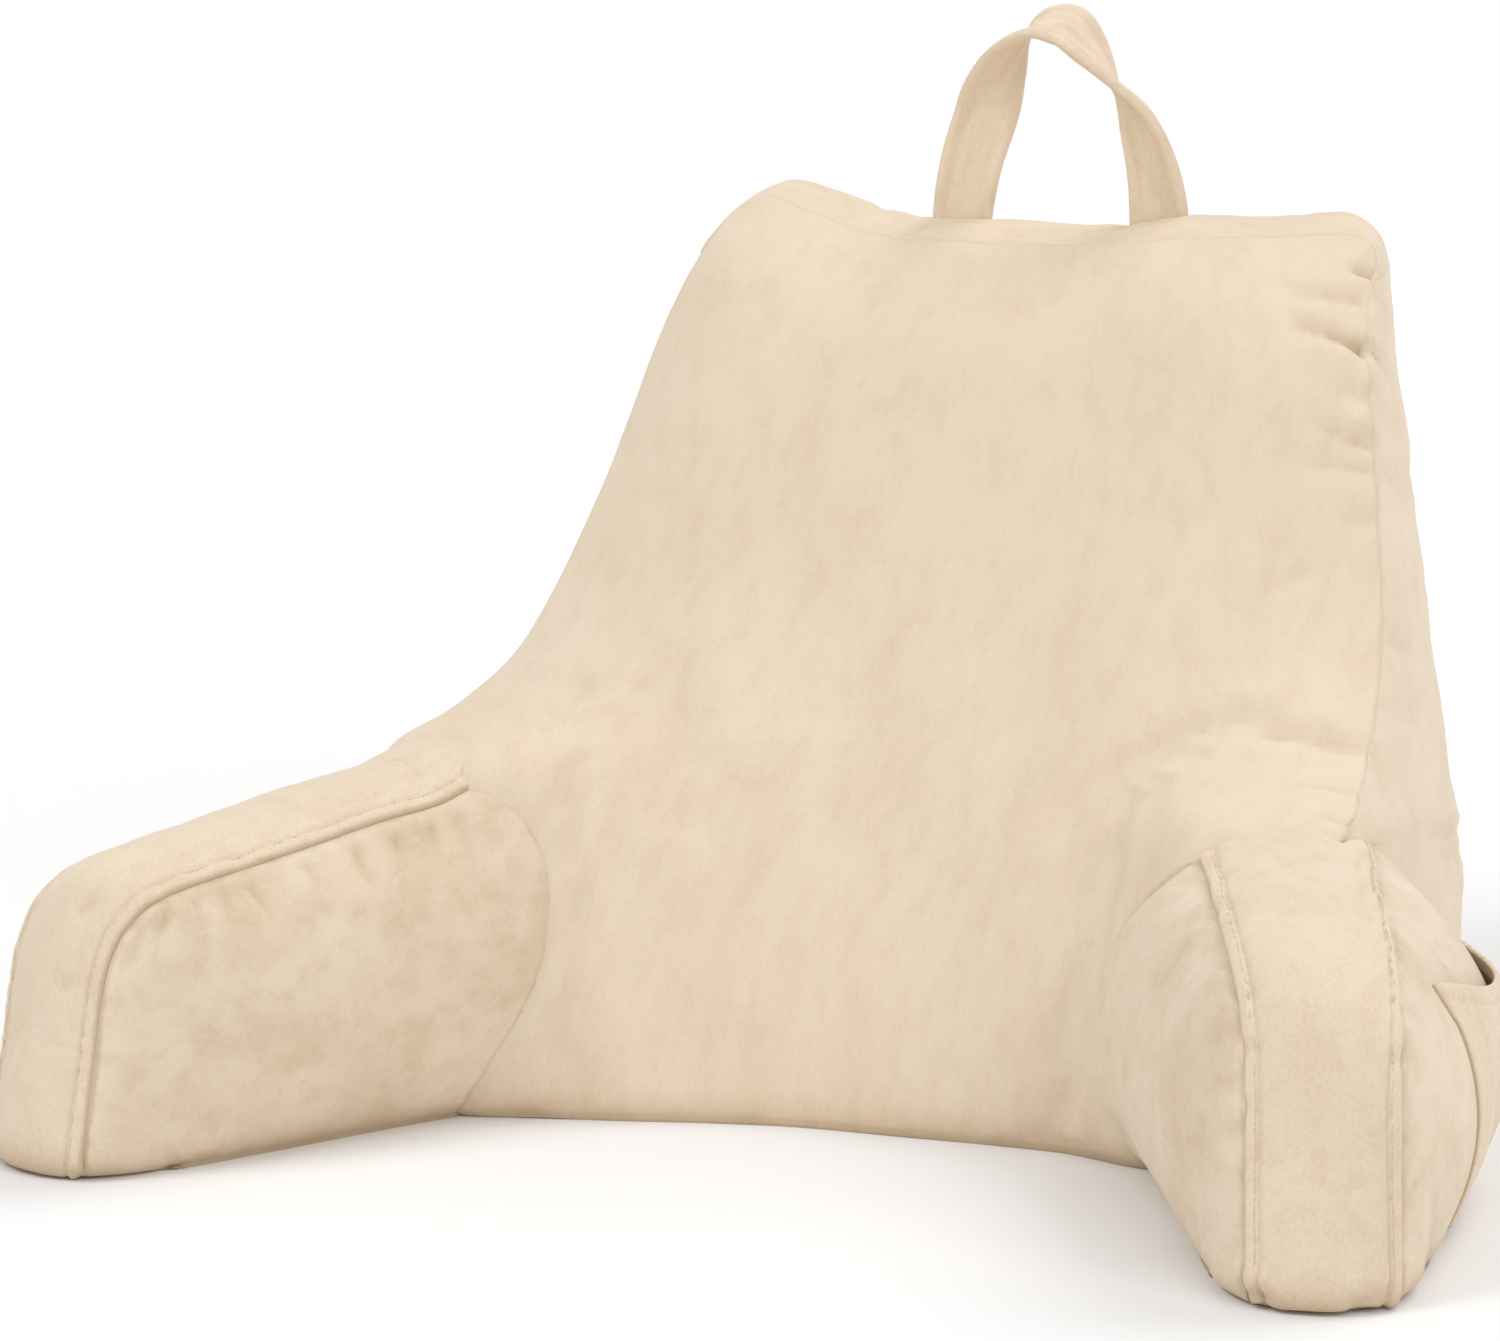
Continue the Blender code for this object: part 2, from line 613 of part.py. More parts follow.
def pocket_grid(lift):
    """Pocket sheet on the arm's outer side; the mouth stands off and droops."""
    start = run_at(POCKET_REAR)
    end = run_at(POCKET_FRONT)
    along = np.linspace(0, 1, POCKET_COLUMNS + 1)
    up = np.linspace(0, 1, POCKET_ROWS + 1)
    stops = start + (end - start) * along
    sag = POCKET_SAG * np.sin(np.pi * along)
    mouth = POCKET_MOUTH_REAR + (POCKET_MOUTH_FRONT - POCKET_MOUTH_REAR) * along - sag
    height = POCKET_BASE + (mouth[:, None] - POCKET_BASE) * up[None, :]
    local = arm_section("arm_right", stops[:, None], np.ones_like(height), height)
    grid = arm_to_drafting("arm_right", local)
    normal = grid_normals(grid)
    outward = arm_frame("arm_right")[2]
    if (normal @ outward).mean() < 0:
        normal = -normal
    bow = np.sin(np.pi * along)[:, None] ** STAND_ALONG
    stand = POCKET_STAND * bow * up[None, :] ** STAND_UP
    return grid + normal * (lift + stand[..., None])


def build_pocket(skin, home):
    inner = pocket_grid(POCKET_GAP)
    outer = pocket_grid(POCKET_GAP + CLOTH)
    points, faces = sheet(outer, inner)
    return mesh_object("side_pocket", points, faces, skin, home)


def main():
    for old in list(bpy.data.objects):
        bpy.data.objects.remove(old, do_unlink=True)
    pillow = collection("reading_pillow")
    cutters = collection("cutters")
    plush = {name: material(name + "_plush", CLOTH_COLOUR)
             for name in ("back_cushion", "arm_left", "arm_right", "arm_left_band",
                          "arm_right_band", "side_pocket")}
    strap = material("carry_handle_plush", STRAP_COLOUR)
    back = build_backrest(plush["back_cushion"], pillow)
    cutter = cutter_from(back, cutters, TRIM_GAP)
    for name in ARM_PLACES:
        build_arm(name, plush[name], pillow, cutter)
        build_band(name, plush[name + "_band"], pillow, cutter)
    build_handle(strap, pillow, cutter)
    build_pocket(plush["side_pocket"], pillow)


main()
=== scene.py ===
# %% [markdown]
# # A reading pillow with arms
#
# The real thing is a sewn case of short plush over loose stuffing: a tall backrest that
# leans away from the sitter, two splayed arms with a strip lapped over each, a strap to
# carry it by and a pocket on one arm. This lesson loads the solid model as a fixed frame
# and dresses every solid with cloth: each surface is worked out as numbers on a grid, and
# the stuffed pieces are then blown up a little by cloth simulation.

# %% Frame
import math

import bpy
import numpy as np
from mathutils import Matrix


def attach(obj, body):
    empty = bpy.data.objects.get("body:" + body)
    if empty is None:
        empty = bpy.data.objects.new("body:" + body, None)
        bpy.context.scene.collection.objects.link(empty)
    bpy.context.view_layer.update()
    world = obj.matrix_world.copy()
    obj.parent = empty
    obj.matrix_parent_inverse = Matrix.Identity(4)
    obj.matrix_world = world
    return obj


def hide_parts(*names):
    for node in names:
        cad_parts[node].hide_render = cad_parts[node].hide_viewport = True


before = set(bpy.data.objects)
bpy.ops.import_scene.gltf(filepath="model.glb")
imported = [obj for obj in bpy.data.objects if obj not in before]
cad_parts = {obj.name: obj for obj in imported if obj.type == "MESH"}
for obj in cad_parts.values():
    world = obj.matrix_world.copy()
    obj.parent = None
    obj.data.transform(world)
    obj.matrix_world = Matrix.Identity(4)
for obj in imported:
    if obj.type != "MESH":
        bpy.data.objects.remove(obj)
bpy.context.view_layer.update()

# %% [markdown]
# ## Drafting frame
#
# The shapes are drawn in a frame whose middle line is the pillow's own middle line and
# whose front is a little ahead of the backrest's foot. The solid model stands on the
# middle of its footprint, so every point is shifted by the same step at the end.

# %% Drafting frame to the model's frame
FOOTPRINT_CENTRE = np.array((0.0062, 0.1297, 0.0))


def placed(points):
    """Drafting frame to the model's frame: one shift along the floor."""
    return np.asarray(points, float) - FOOTPRINT_CENTRE


def unit(vectors, least=1e-12):
    """Vectors divided by their own lengths; one shorter than least stays that short."""
    return vectors / np.maximum(np.linalg.norm(vectors, axis=-1, keepdims=True), least)


def linked(name, data):
    """A new object in the scene, at the origin."""
    made = bpy.data.objects.new(name, data)
    bpy.context.scene.collection.objects.link(made)
    return made


# %% [markdown]
# ## Camera
#
# The photograph is taken from the pocket's side, a little above the arms, with a long
# lens. Its turn and lift are the ones that put both arms' feet where the photograph has
# them.

# %% Camera
PHOTO_WIDTH = 1500
PHOTO_HEIGHT = 1341
CAMERA_TURN = math.radians(23.35)
CAMERA_LIFT = math.radians(10.53)
CAMERA_REACH = 3.22
CAMERA_AIM = np.array((0.0, 0.0, 0.23))
FOCAL_PIXELS = 6330.0
AIM_PIXEL = (775.0, 718.0)
SENSOR = 36.0
FARTHEST = 30.0           # what lies farther from the camera isn't drawn


def turned_to(right, above, back, position):
    """Matrix whose columns are the three unit directions and the position."""
    matrix = np.eye(4)
    matrix[:3] = np.stack([right, above, back, position], 1)
    return Matrix(matrix.tolist())


behind = np.array((math.sin(CAMERA_TURN) * math.cos(CAMERA_LIFT),
                   -math.cos(CAMERA_TURN) * math.cos(CAMERA_LIFT), math.sin(CAMERA_LIFT)))
sideways = np.array((math.cos(CAMERA_TURN), math.sin(CAMERA_TURN), 0.0))
upward = np.cross(behind, sideways)
camera_data = bpy.data.cameras.new("photo_camera")
camera_data.sensor_width = SENSOR
camera_data.lens = FOCAL_PIXELS / PHOTO_WIDTH * SENSOR
camera_data.shift_x = (PHOTO_WIDTH / 2 - AIM_PIXEL[0]) / PHOTO_WIDTH
camera_data.shift_y = (AIM_PIXEL[1] - PHOTO_HEIGHT / 2) / PHOTO_WIDTH
camera_data.clip_end = FARTHEST
camera = linked("photo_camera", camera_data)
place = placed(CAMERA_AIM + CAMERA_REACH * behind)
camera.matrix_world = turned_to(sideways, upward, behind, place)
bpy.context.scene.camera = camera
print("camera at", place.round(3), "lens", round(camera_data.lens, 1), "mm")

# %% [markdown]
# ## Curves and tables
#
# A pillow has no formula, so its outline is read from short tables, and a monotone cubic
# joins the rows without overshooting, which keeps a flat stretch of cloth flat.

# %% Curves and tables
RIPPLE_WAVES = 6                  # sine waves in one ripple
RIPPLE_STRAY = (0.67, 1.33)       # how far their lengths stray from the given ones


def smooth(knots, values, at):
    """Monotone cubic through (knots, values), read at the places in at.

    values holds one number for each knot, or one array of at's shape for each knot. The
    slope at a knot is the harmonic mean of the slopes on its two sides.
    """
    knots = np.asarray(knots, float)
    values = np.asarray(values, float)
    at = np.clip(at, knots[0], knots[-1])
    width = np.diff(knots)
    spread_out = width.reshape((-1,) + (1,) * (values.ndim - 1))
    slope = np.diff(values, axis=0) / spread_out
    before = slope[:-1]
    after = slope[1:]
    same_way = before * after > 0
    both = np.where(same_way, before + after, 1.0)
    tangent = np.zeros_like(values)
    tangent[0] = slope[0]
    tangent[-1] = slope[-1]
    tangent[1:-1] = np.where(same_way, 2 * before * after / both, 0.0)
    cell = np.clip(np.searchsorted(knots, at, side="right") - 1, 0, len(width) - 1)

    def pick(array, shift=0):
        if array.ndim == 1:
            return array[cell + shift]
        return np.take_along_axis(array, (cell + shift)[None], 0)[0]

    t = (at - knots[cell]) / width[cell]
    rise = t * (1 - t) ** 2 * width[cell] * pick(tangent)
    fall = t * t * (1 - t) * width[cell] * pick(tangent, 1)
    return ((1 + 2 * t) * (1 - t) ** 2 * pick(values) + rise
            + t * t * (3 - 2 * t) * pick(values, 1) - fall)


def ease(value):
    """0 below 0, 1 above 1 and an S-shaped cubic between."""
    t = np.clip(value, 0.0, 1.0)
    return t * t * (3 - 2 * t)


def bump(distance, width):
    """Bell curve: 1 at distance 0, near 0 at twice the width."""
    return np.exp(-(np.asarray(distance) / width) ** 2)


def crowded(count, pull):
    """Shares 0..1 that crowd together at both ends: s - pull * sin(2 pi s) / (2 pi)."""
    share = np.linspace(0.0, 1.0, count + 1)
    return share - pull * np.sin(2 * np.pi * share) / (2 * np.pi)


def steps_along(grid, axis=0):
    """Distance run along one axis of a grid of points, from its start."""
    step = np.linalg.norm(np.diff(grid, axis=axis), axis=-1)
    zero = np.zeros_like(np.take(step, [0], axis))
    return np.concatenate([zero, np.cumsum(step, axis)], axis)


def read_at(at, run, line):
    """Each column of a line of points read at the distances in at."""
    return np.stack([np.interp(at, run, values) for values in line.T], 1)


def read_evenly(line, shares):
    """A polyline read at the given shares of its own length."""
    run = steps_along(line)
    return read_at(np.asarray(shares) * run[-1], run, line)


def smoothed(line, times):
    """A line of points averaged 1-2-1 with its neighbours, its ends kept."""
    for _ in range(times):
        line = np.concatenate([line[:1], (line[:-2] + 2 * line[1:-1] + line[2:]) / 4, line[-1:]])
    return line


def ripple(seed, waves, *axes):
    """Uneven wobble between about -1 and 1: a weighted mean of sine waves whose lengths
    stray round the given wavelengths, one for each axis, with seeded phases and weights."""
    draw = np.random.default_rng(seed)
    total = 0.0
    weights = draw.uniform(0.5, 1.0, RIPPLE_WAVES)
    for weight in weights:
        phase = draw.uniform(0, 2 * np.pi)
        for axis, wave in zip(axes, waves):
            phase = phase + 2 * np.pi * axis / wave * draw.uniform(*RIPPLE_STRAY)
        total = total + weight * np.sin(phase)
    return total / weights.sum()


def cubic_at(grid, rows, columns):
    """A grid of points read between its nodes, Catmull-Rom weights along both axes."""
    def weights(place, count):
        cell = np.clip(np.floor(place).astype(int), 0, count - 2)
        t = place - cell
        spots = np.clip(cell[..., None] + np.arange(-1, 3), 0, count - 1)
        share = np.stack([-t + 2 * t ** 2 - t ** 3, 2 - 5 * t ** 2 + 3 * t ** 3,
                          t + 4 * t ** 2 - 3 * t ** 3, t ** 3 - t ** 2], -1) / 2
        return spots, share
    row_spots, row_share = weights(rows, grid.shape[0])
    column_spots, column_share = weights(columns, grid.shape[1])
    picked = grid[row_spots[..., :, None], column_spots[..., None, :]]
    return np.einsum("...i,...j,...ijk->...k", row_share, column_share, picked)


print("monotone cubic at 0.5 of a ramp:", smooth((0, 1), (0, 2), np.array([0.5])))

# %% [markdown]
# ## Backrest surface
#
# The backrest is one cushion of three kinds of panel: a front panel, a back panel and a
# narrow strip, the gusset, that joins them up both sides and over the top. The front panel
# is a surface y = f(x, z): a table says how far back it lies at seven stations across. Low
# down it is nearly upright, at the arms' height it comes forward into a wing at each side,
# and above that it leans back.

# %% Backrest sizes
# height, half width left and right, then the depth at the side seams, at 3/4 and 1/2 of
# the half width and on the middle line
#  height  half_l  half_r  side_l  flank_l  inner_l  middle  inner_r  flank_r  side_r
FRONT_PANEL = np.array([
    (0.000, 0.246, 0.246, 0.090, 0.014, 0.029, 0.060, 0.064, 0.050, 0.090),
    (0.050, 0.256, 0.258, 0.082, 0.024, 0.048, 0.087, 0.078, 0.048, 0.080),
    (0.090, 0.261, 0.265, 0.078, 0.034, 0.066, 0.114, 0.088, 0.050, 0.074),
    (0.140, 0.266, 0.272, 0.078, 0.047, 0.094, 0.149, 0.112, 0.060, 0.072),
    (0.160, 0.267, 0.276, 0.080, 0.054, 0.109, 0.163, 0.127, 0.066, 0.074),
    (0.175, 0.266, 0.278, 0.085, 0.064, 0.124, 0.175, 0.140, 0.078, 0.084),
    (0.185, 0.259, 0.271, 0.103, 0.087, 0.139, 0.183, 0.153, 0.104, 0.125),
    (0.195, 0.252, 0.261, 0.140, 0.122, 0.160, 0.192, 0.170, 0.146, 0.170),
    (0.210, 0.248, 0.253, 0.198, 0.172, 0.186, 0.204, 0.191, 0.184, 0.205),
    (0.230, 0.2455, 0.2465, 0.234, 0.211, 0.210, 0.219, 0.212, 0.213, 0.234),
    (0.260, 0.2390, 0.2385, 0.261, 0.243, 0.237, 0.240, 0.237, 0.243, 0.261),
    (0.300, 0.2290, 0.2280, 0.285, 0.268, 0.262, 0.264, 0.262, 0.268, 0.285),
    (0.340, 0.2200, 0.2190, 0.304, 0.288, 0.283, 0.285, 0.283, 0.288, 0.304),
    (0.380, 0.2105, 0.2100, 0.321, 0.307, 0.303, 0.305, 0.303, 0.307, 0.321),
    (0.410, 0.2030, 0.2020, 0.341, 0.325, 0.321, 0.322, 0.321, 0.325, 0.341),
    (0.430, 0.1985, 0.1970, 0.364, 0.347, 0.342, 0.343, 0.342, 0.347, 0.364),
    (0.445, 0.1955, 0.1930, 0.383, 0.369, 0.365, 0.366, 0.365, 0.369, 0.383),
    (0.460, 0.1935, 0.1900, 0.394, 0.389, 0.387, 0.387, 0.387, 0.389, 0.394)])
PANEL_STATIONS = (-1.0, -0.75, -0.5, 0.0, 0.5, 0.75, 1.0)
#  height  half_l  half_r  side    middle
BACK_PANEL = np.array([
    (0.000, 0.240, 0.240, 0.398, 0.404),
    (0.080, 0.240, 0.240, 0.405, 0.416),
    (0.165, 0.228, 0.228, 0.408, 0.422),
    (0.260, 0.210, 0.209, 0.412, 0.427),
    (0.350, 0.194, 0.192, 0.420, 0.434),
    (0.430, 0.180, 0.176, 0.432, 0.441),
    (0.460, 0.176, 0.170, 0.436, 0.440)])
TOP_HEIGHT = 0.455
# the top seam droops between the corners: across, drop
TOP_DROOP = np.array([
    (-0.168, 0.000),
    (-0.140, 0.0095),
    (-0.107, 0.018),
    (-0.080, 0.021),
    (-0.020, 0.0215),
    (0.040, 0.0195),
    (0.082, 0.0135),
    (0.130, 0.0115),
    (0.160, 0.0085)])
DROOP_FROM = 0.300
CORNER_RADIUS = (0.036, 0.024)
PANEL_PUFF = 0.012        # how far stuffing rounds a panel off its seams
PUFF_ACROSS = 7           # the higher, the closer to the side seams
PUFF_UP = 9               # and to the top and bottom seams
GUSSET_CROWN = 0.009      # how far the gusset swells between its seams
GUSSET_FROM = 0.05        # it is flat on the floor and full from this height
TOP_SOFTNESS = 0.6        # over the top the crown keeps more to the gusset's middle
TOP_GUSSET_FROM = 0.3     # the gusset's top part lies above this height
EDGE_SAMPLES = 400        # points on a panel's edge before it is read evenly
ARC_HALF = 40             # and on half a corner's arc

# %% Backrest surface
def column(table, index, height):
    """One column of a table that is read by height."""
    return smooth(table[:, 0], table[:, index], height)


def share_across(table, x, z):
    """x as a share of the half width at z, -1 at the left seam and 1 at the right."""
    half = np.where(x < 0, column(table, 1, z), column(table, 2, z))
    return np.clip(x / half, -1.0, 1.0)


def front_depth(x, z):
    """How far back the front panel lies at (x, z), read across seven stations."""
    x, z = np.broadcast_arrays(x, z)
    stations = np.stack([column(FRONT_PANEL, i, z) for i in range(3, 10)])
    return smooth(PANEL_STATIONS, stations, share_across(FRONT_PANEL, x, z))


def back_depth(x, z):
    """How far back the back panel lies at (x, z): a shallow crown across."""
    side = column(BACK_PANEL, 3, z)
    middle = column(BACK_PANEL, 4, z)
    return middle + (side - middle) * share_across(BACK_PANEL, x, z) ** 2


def panel_outline(table):
    """Seam outline of a panel as four fine lines in (x, z): bottom, right, top, left. The
    top corners are quarter arcs, and each is shared by the side and the top edge."""
    fine = np.linspace(0.0, 1.0, EDGE_SAMPLES)
    sides = {}
    corners = {}
    for sign, radius, half in zip((-1, 1), CORNER_RADIUS, (1, 2)):
        z = (TOP_HEIGHT - radius) * fine
        side = np.stack([sign * column(table, half, z), z], 1)
        turn = np.linspace(0.0, math.pi / 2, 2 * ARC_HALF + 1)
        arc = np.stack([side[-1, 0] - sign * radius * (1 - np.cos(turn)),
                        side[-1, 1] + radius * np.sin(turn)], 1)
        sides[sign] = np.concatenate([side, arc[1:ARC_HALF + 1]])
        corners[sign] = arc[ARC_HALF:]
    straight = np.linspace(corners[-1][-1, 0], corners[1][-1, 0], EDGE_SAMPLES)
    top = np.stack([straight, np.full_like(straight, TOP_HEIGHT)], 1)
    top = np.concatenate([corners[-1], top[1:-1], corners[1][::-1]])
    bottom = np.linspace((-table[0, 1], 0.0), (table[0, 2], 0.0), EDGE_SAMPLES)
    return bottom, sides[1], top, sides[-1]


def side_shares(edge, depth, shares):
    """Places on a side edge that are evenly shared along the real, sloping seam."""
    solid = np.column_stack([edge[:, 0], depth(edge[:, 0], edge[:, 1]), edge[:, 1]])
    return read_evenly(solid, shares)[:, [0, 2]]


def panel_places(table, depth, up, across):
    """Coons patch: the four edges are ruled both ways and the corners' plane taken off."""
    bottom, right, top, left = panel_outline(table)
    bottom = read_evenly(bottom, across)
    top = read_evenly(top, across)
    right = side_shares(right, depth, up)
    left = side_shares(left, depth, up)
    v = up[:, None, None]
    u = across[None, :, None]
    ruled = (1 - v) * bottom[None] + v * top[None] + (1 - u) * left[:, None] + u * right[:, None]
    plane = ((1 - u) * (1 - v) * bottom[0] + u * (1 - v) * bottom[-1]
             + (1 - u) * v * top[0] + u * v * top[-1])
    return ruled - plane


def drooped(points):
    """The upper part lowered by the droop of the top seam, dying out downward."""
    share = ease((points[..., 2] - DROOP_FROM) / (TOP_HEIGHT - DROOP_FROM))
    lowered = points.copy()
    lowered[..., 2] -= smooth(TOP_DROOP[:, 0], TOP_DROOP[:, 1], points[..., 0]) * share
    return lowered


def loop_of(grid):
    """The outer points of a grid, counter-clockwise seen from the front."""
    return np.concatenate([grid[0, :-1], grid[:-1, -1], grid[-1, :0:-1], grid[:0:-1, 0]])


def backrest_grids(up, across, through):
    """Front panel, back panel and gusset, drooped.

    Stuffing rounds a panel off its seams by PANEL_PUFF (1 - |u|^7)(1 - |v|^9), and the
    gusset swells between its two seams by GUSSET_CROWN (4 t (1 - t))^p, with p = 1 on the
    sides and more over the top, where the front panel runs into it without a valley."""
    swell = PANEL_PUFF * ((1 - np.abs(2 * across[None, :] - 1) ** PUFF_ACROSS)
                          * (1 - np.abs(2 * up[:, None] - 1) ** PUFF_UP))
    panels = []
    for table, depth, sign in ((FRONT_PANEL, front_depth, -1), (BACK_PANEL, back_depth, 1)):
        x, z = np.moveaxis(panel_places(table, depth, up, across), -1, 0)
        panels.append(np.stack([x, depth(x, z) + sign * swell, z], -1))
    front, back = panels
    near = loop_of(front)
    far = loop_of(back)
    ahead = np.roll(near, -1, 0) - np.roll(near, 1, 0)
    normal = unit(np.stack([ahead[:, 2], np.zeros(len(ahead)), -ahead[:, 0]], 1), 1e-9)
    t = through[:, None, None]
    over_top = normal[:, 2:].clip(0.0, 1.0) * (near[:, 2:] > TOP_GUSSET_FROM)
    crown = (ease(near[:, 2] / GUSSET_FROM)[:, None] * GUSSET_CROWN
             * (4 * t * (1 - t)) ** (1 + TOP_SOFTNESS * over_top))
    gusset = near * (1 - t) + far * t + normal * crown
    return drooped(front), drooped(back), drooped(gusset)


# %% Backrest as one closed mesh
def grid_quads(rows, columns, start=0, flip=False):
    """Corner numbers of the quads of a grid of (rows + 1) x (columns + 1) points."""
    first = start + (np.arange(rows)[:, None] * (columns + 1) + np.arange(columns)[None]).ravel()
    quads = np.stack([first, first + 1, first + columns + 2, first + columns + 1], 1)
    return quads[:, ::-1] if flip else quads


def ring_quads(rings):
    """Quads between neighbouring closed rings of point numbers."""
    near = rings[:-1]
    far = rings[1:]
    return np.stack([near, far, np.roll(far, -1, 1), np.roll(near, -1, 1)], -1).reshape(-1, 4)


def capped(rings):
    """Points, quads and fans of a tube of closed rings, shut by a fan over each end whose
    hub is the middle of that end's ring. The hubs are the last two points."""
    around = rings.shape[1]
    numbers = np.arange(len(rings) * around).reshape(len(rings), around)
    points = np.concatenate([rings.reshape(-1, 3), [rings[0].mean(0), rings[-1].mean(0)]])
    hub = len(points) - 2
    fans = np.concatenate([
        np.stack([numbers[0], np.roll(numbers[0], -1), np.full(around, hub)], 1),
        np.stack([np.roll(numbers[-1], -1), numbers[-1], np.full(around, hub + 1)], 1)])
    return points, ring_quads(numbers), fans


def backrest_body(up, across, through):
    """Points and quads of the closed backrest: both panels, and the gusset's rings between
    their outer loops. The points are the front grid, the back grid, then the rings."""
    front, back, gusset = backrest_grids(up, across, through)
    rows = len(up) - 1
    columns = len(across) - 1
    panel = (rows + 1) * (columns + 1)
    loop = loop_of(np.arange(panel).reshape(rows + 1, columns + 1))
    inner = len(through) - 2
    strip = 2 * panel + np.arange(inner * len(loop)).reshape(inner, len(loop))
    rings = np.concatenate([loop[None], strip, loop[None] + panel])
    quads = np.concatenate([grid_quads(rows, columns), grid_quads(rows, columns, panel, True),
                            ring_quads(rings)])
    points = np.concatenate([front.reshape(-1, 3), back.reshape(-1, 3),
                             gusset[1:-1].reshape(-1, 3)])
    return points, quads


def vertex_normals(points, quads):
    """Unit normals: the quads' diagonal cross products summed at their corners."""
    corner = points[quads]
    facing = np.cross(corner[:, 2] - corner[:, 0], corner[:, 3] - corner[:, 1])
    normal = np.zeros_like(points)
    for i in range(4):
        np.add.at(normal, quads[:, i], facing)
    return unit(normal)


def relaxed(points, quads, weight, times):
    """Points drawn halfway toward the mean of their neighbours, times over, each by its
    own weight 0..1: it rounds a sharp edge and leaves the rest."""
    one = np.concatenate([quads, np.roll(quads, -1, 1)]).ravel()
    other = np.concatenate([np.roll(quads, -1, 1), quads]).ravel()
    count = np.bincount(one, minlength=len(points))[:, None]
    for _ in range(times):
        total = [np.bincount(one, points[other, axis], len(points)) for axis in range(3)]
        points = points + 0.5 * weight[:, None] * (np.stack(total, 1) / count - points)
    return points


def outward(points, *face_sets):
    """The face sets turned over together when the volume they close is negative."""
    volume = 0.0
    for faces in face_sets:
        corner = points[faces]
        for i in range(1, faces.shape[1] - 1):
            volume += (corner[:, 0] * np.cross(corner[:, i], corner[:, i + 1])).sum() / 6
    turned = [faces if volume > 0 else faces[:, ::-1] for faces in face_sets]
    print("encloses", round(float(abs(volume)) * 1000, 2), "litres",
          "" if volume > 0 else "(faces turned outward)")
    return turned


def feet_rounded(points, normals, radius):
    """Body walls drawn in near the floor on a quarter circle: a point at height z below
    the radius moves in, level, by radius - sqrt(radius^2 - (radius - z)^2)."""
    low = np.clip(1 - points[:, 2] / radius, 0.0, 1.0)
    inward = radius * (1 - np.sqrt(1 - low ** 2))
    level = normals * np.array((1.0, 1.0, 0.0))
    rounded = points - level * inward[:, None]
    rounded[:, 2] = np.maximum(rounded[:, 2], 0.0)
    return rounded


BACK_UP = crowded(148, 0.55)
BACK_ACROSS = crowded(132, 0.65)
BACK_THROUGH = crowded(24, 0.60)
back_points, back_quads = backrest_body(BACK_UP, BACK_ACROSS, BACK_THROUGH)
back_quads, = outward(back_points, back_quads)
print("backrest:", len(back_points), "points,", len(back_quads), "quads")

# %% [markdown]
# ## Folds
#
# Plush over loose stuffing creases where a seam holds it back. Each crease in the table is
# a soft trough between two points of the surface, deep at the seam and fading at its other
# end, with a low ridge above it. Along every seam the cloth is also gathered a little, so
# fine uneven ripples run into the panel and die out.

# %% Creases
# start at the seam (x, y, z), end (x, y, z), width and depth, in the drafting frame
BACKREST_CREASES = np.array([
    (0.193, 0.370, 0.428, 0.178, 0.367, 0.431, 0.0045, 0.0032),
    (0.204, 0.331, 0.391, 0.181, 0.325, 0.401, 0.0050, 0.0050),
    (0.185, 0.326, 0.400, 0.153, 0.319, 0.405, 0.0070, 0.0020),
    (0.193, 0.350, 0.415, 0.130, 0.336, 0.419, 0.0080, 0.0018),
    (0.216, 0.304, 0.344, 0.181, 0.291, 0.354, 0.0050, 0.0022),
    (0.217, 0.297, 0.331, 0.169, 0.277, 0.335, 0.0060, 0.0018),
    (0.195, 0.253, 0.281, 0.164, 0.232, 0.264, 0.0090, 0.0014),
    (0.254, 0.186, 0.201, 0.161, 0.161, 0.203, 0.0080, 0.0018),
    (0.264, 0.138, 0.188, 0.188, 0.118, 0.190, 0.0080, 0.0016),
    (0.274, 0.102, 0.178, 0.242, 0.095, 0.182, 0.0050, 0.0018),
    (0.275, 0.089, 0.171, 0.252, 0.066, 0.176, 0.0050, 0.0016),
    (0.222, 0.284, 0.305, 0.194, 0.271, 0.310, 0.0060, 0.0012),
    (0.210, 0.315, 0.368, 0.187, 0.306, 0.373, 0.0060, 0.0014),
    (0.238, 0.398, 0.115, 0.273, 0.145, 0.163, 0.0050, 0.0018),
    (0.240, 0.395, 0.105, 0.269, 0.204, 0.140, 0.0050, 0.0015),
    (0.207, 0.341, 0.388, 0.212, 0.352, 0.365, 0.0040, 0.0020),
    (0.222, 0.316, 0.328, 0.225, 0.330, 0.310, 0.0050, 0.0012),
    (0.243, 0.265, 0.245, 0.240, 0.323, 0.220, 0.0060, 0.0012),
    (-0.080, 0.403, 0.443, -0.097, 0.353, 0.422, 0.0060, 0.0018),
    (-0.095, 0.406, 0.444, -0.119, 0.357, 0.427, 0.0060, 0.0014),
    (-0.111, 0.408, 0.446, -0.140, 0.361, 0.434, 0.0070, 0.0010),
    (-0.028, 0.398, 0.441, -0.041, 0.361, 0.424, 0.0060, 0.0010),
    (0.022, 0.410, 0.443, 0.004, 0.372, 0.431, 0.0050, 0.0018),
    (0.036, 0.417, 0.445, 0.037, 0.374, 0.433, 0.0060, 0.0010)])
RIDGE_SHARE = 0.45        # the ridge above a trough, as a share of the trough's depth
RIDGE_OFFSET = 1.7        # and how far from it, in trough widths
CREASE_REACH = 0.012      # how far off the measured line the surface may have moved
CREASE_GAIN = 1.75        # loose cloth folds this much deeper than the table's depths
CREASE_FADE = 0.7         # the lower, the longer a crease keeps its depth
FULL_SHADE_DEPTH = 0.004      # a trough this deep gets the full painted crease shade
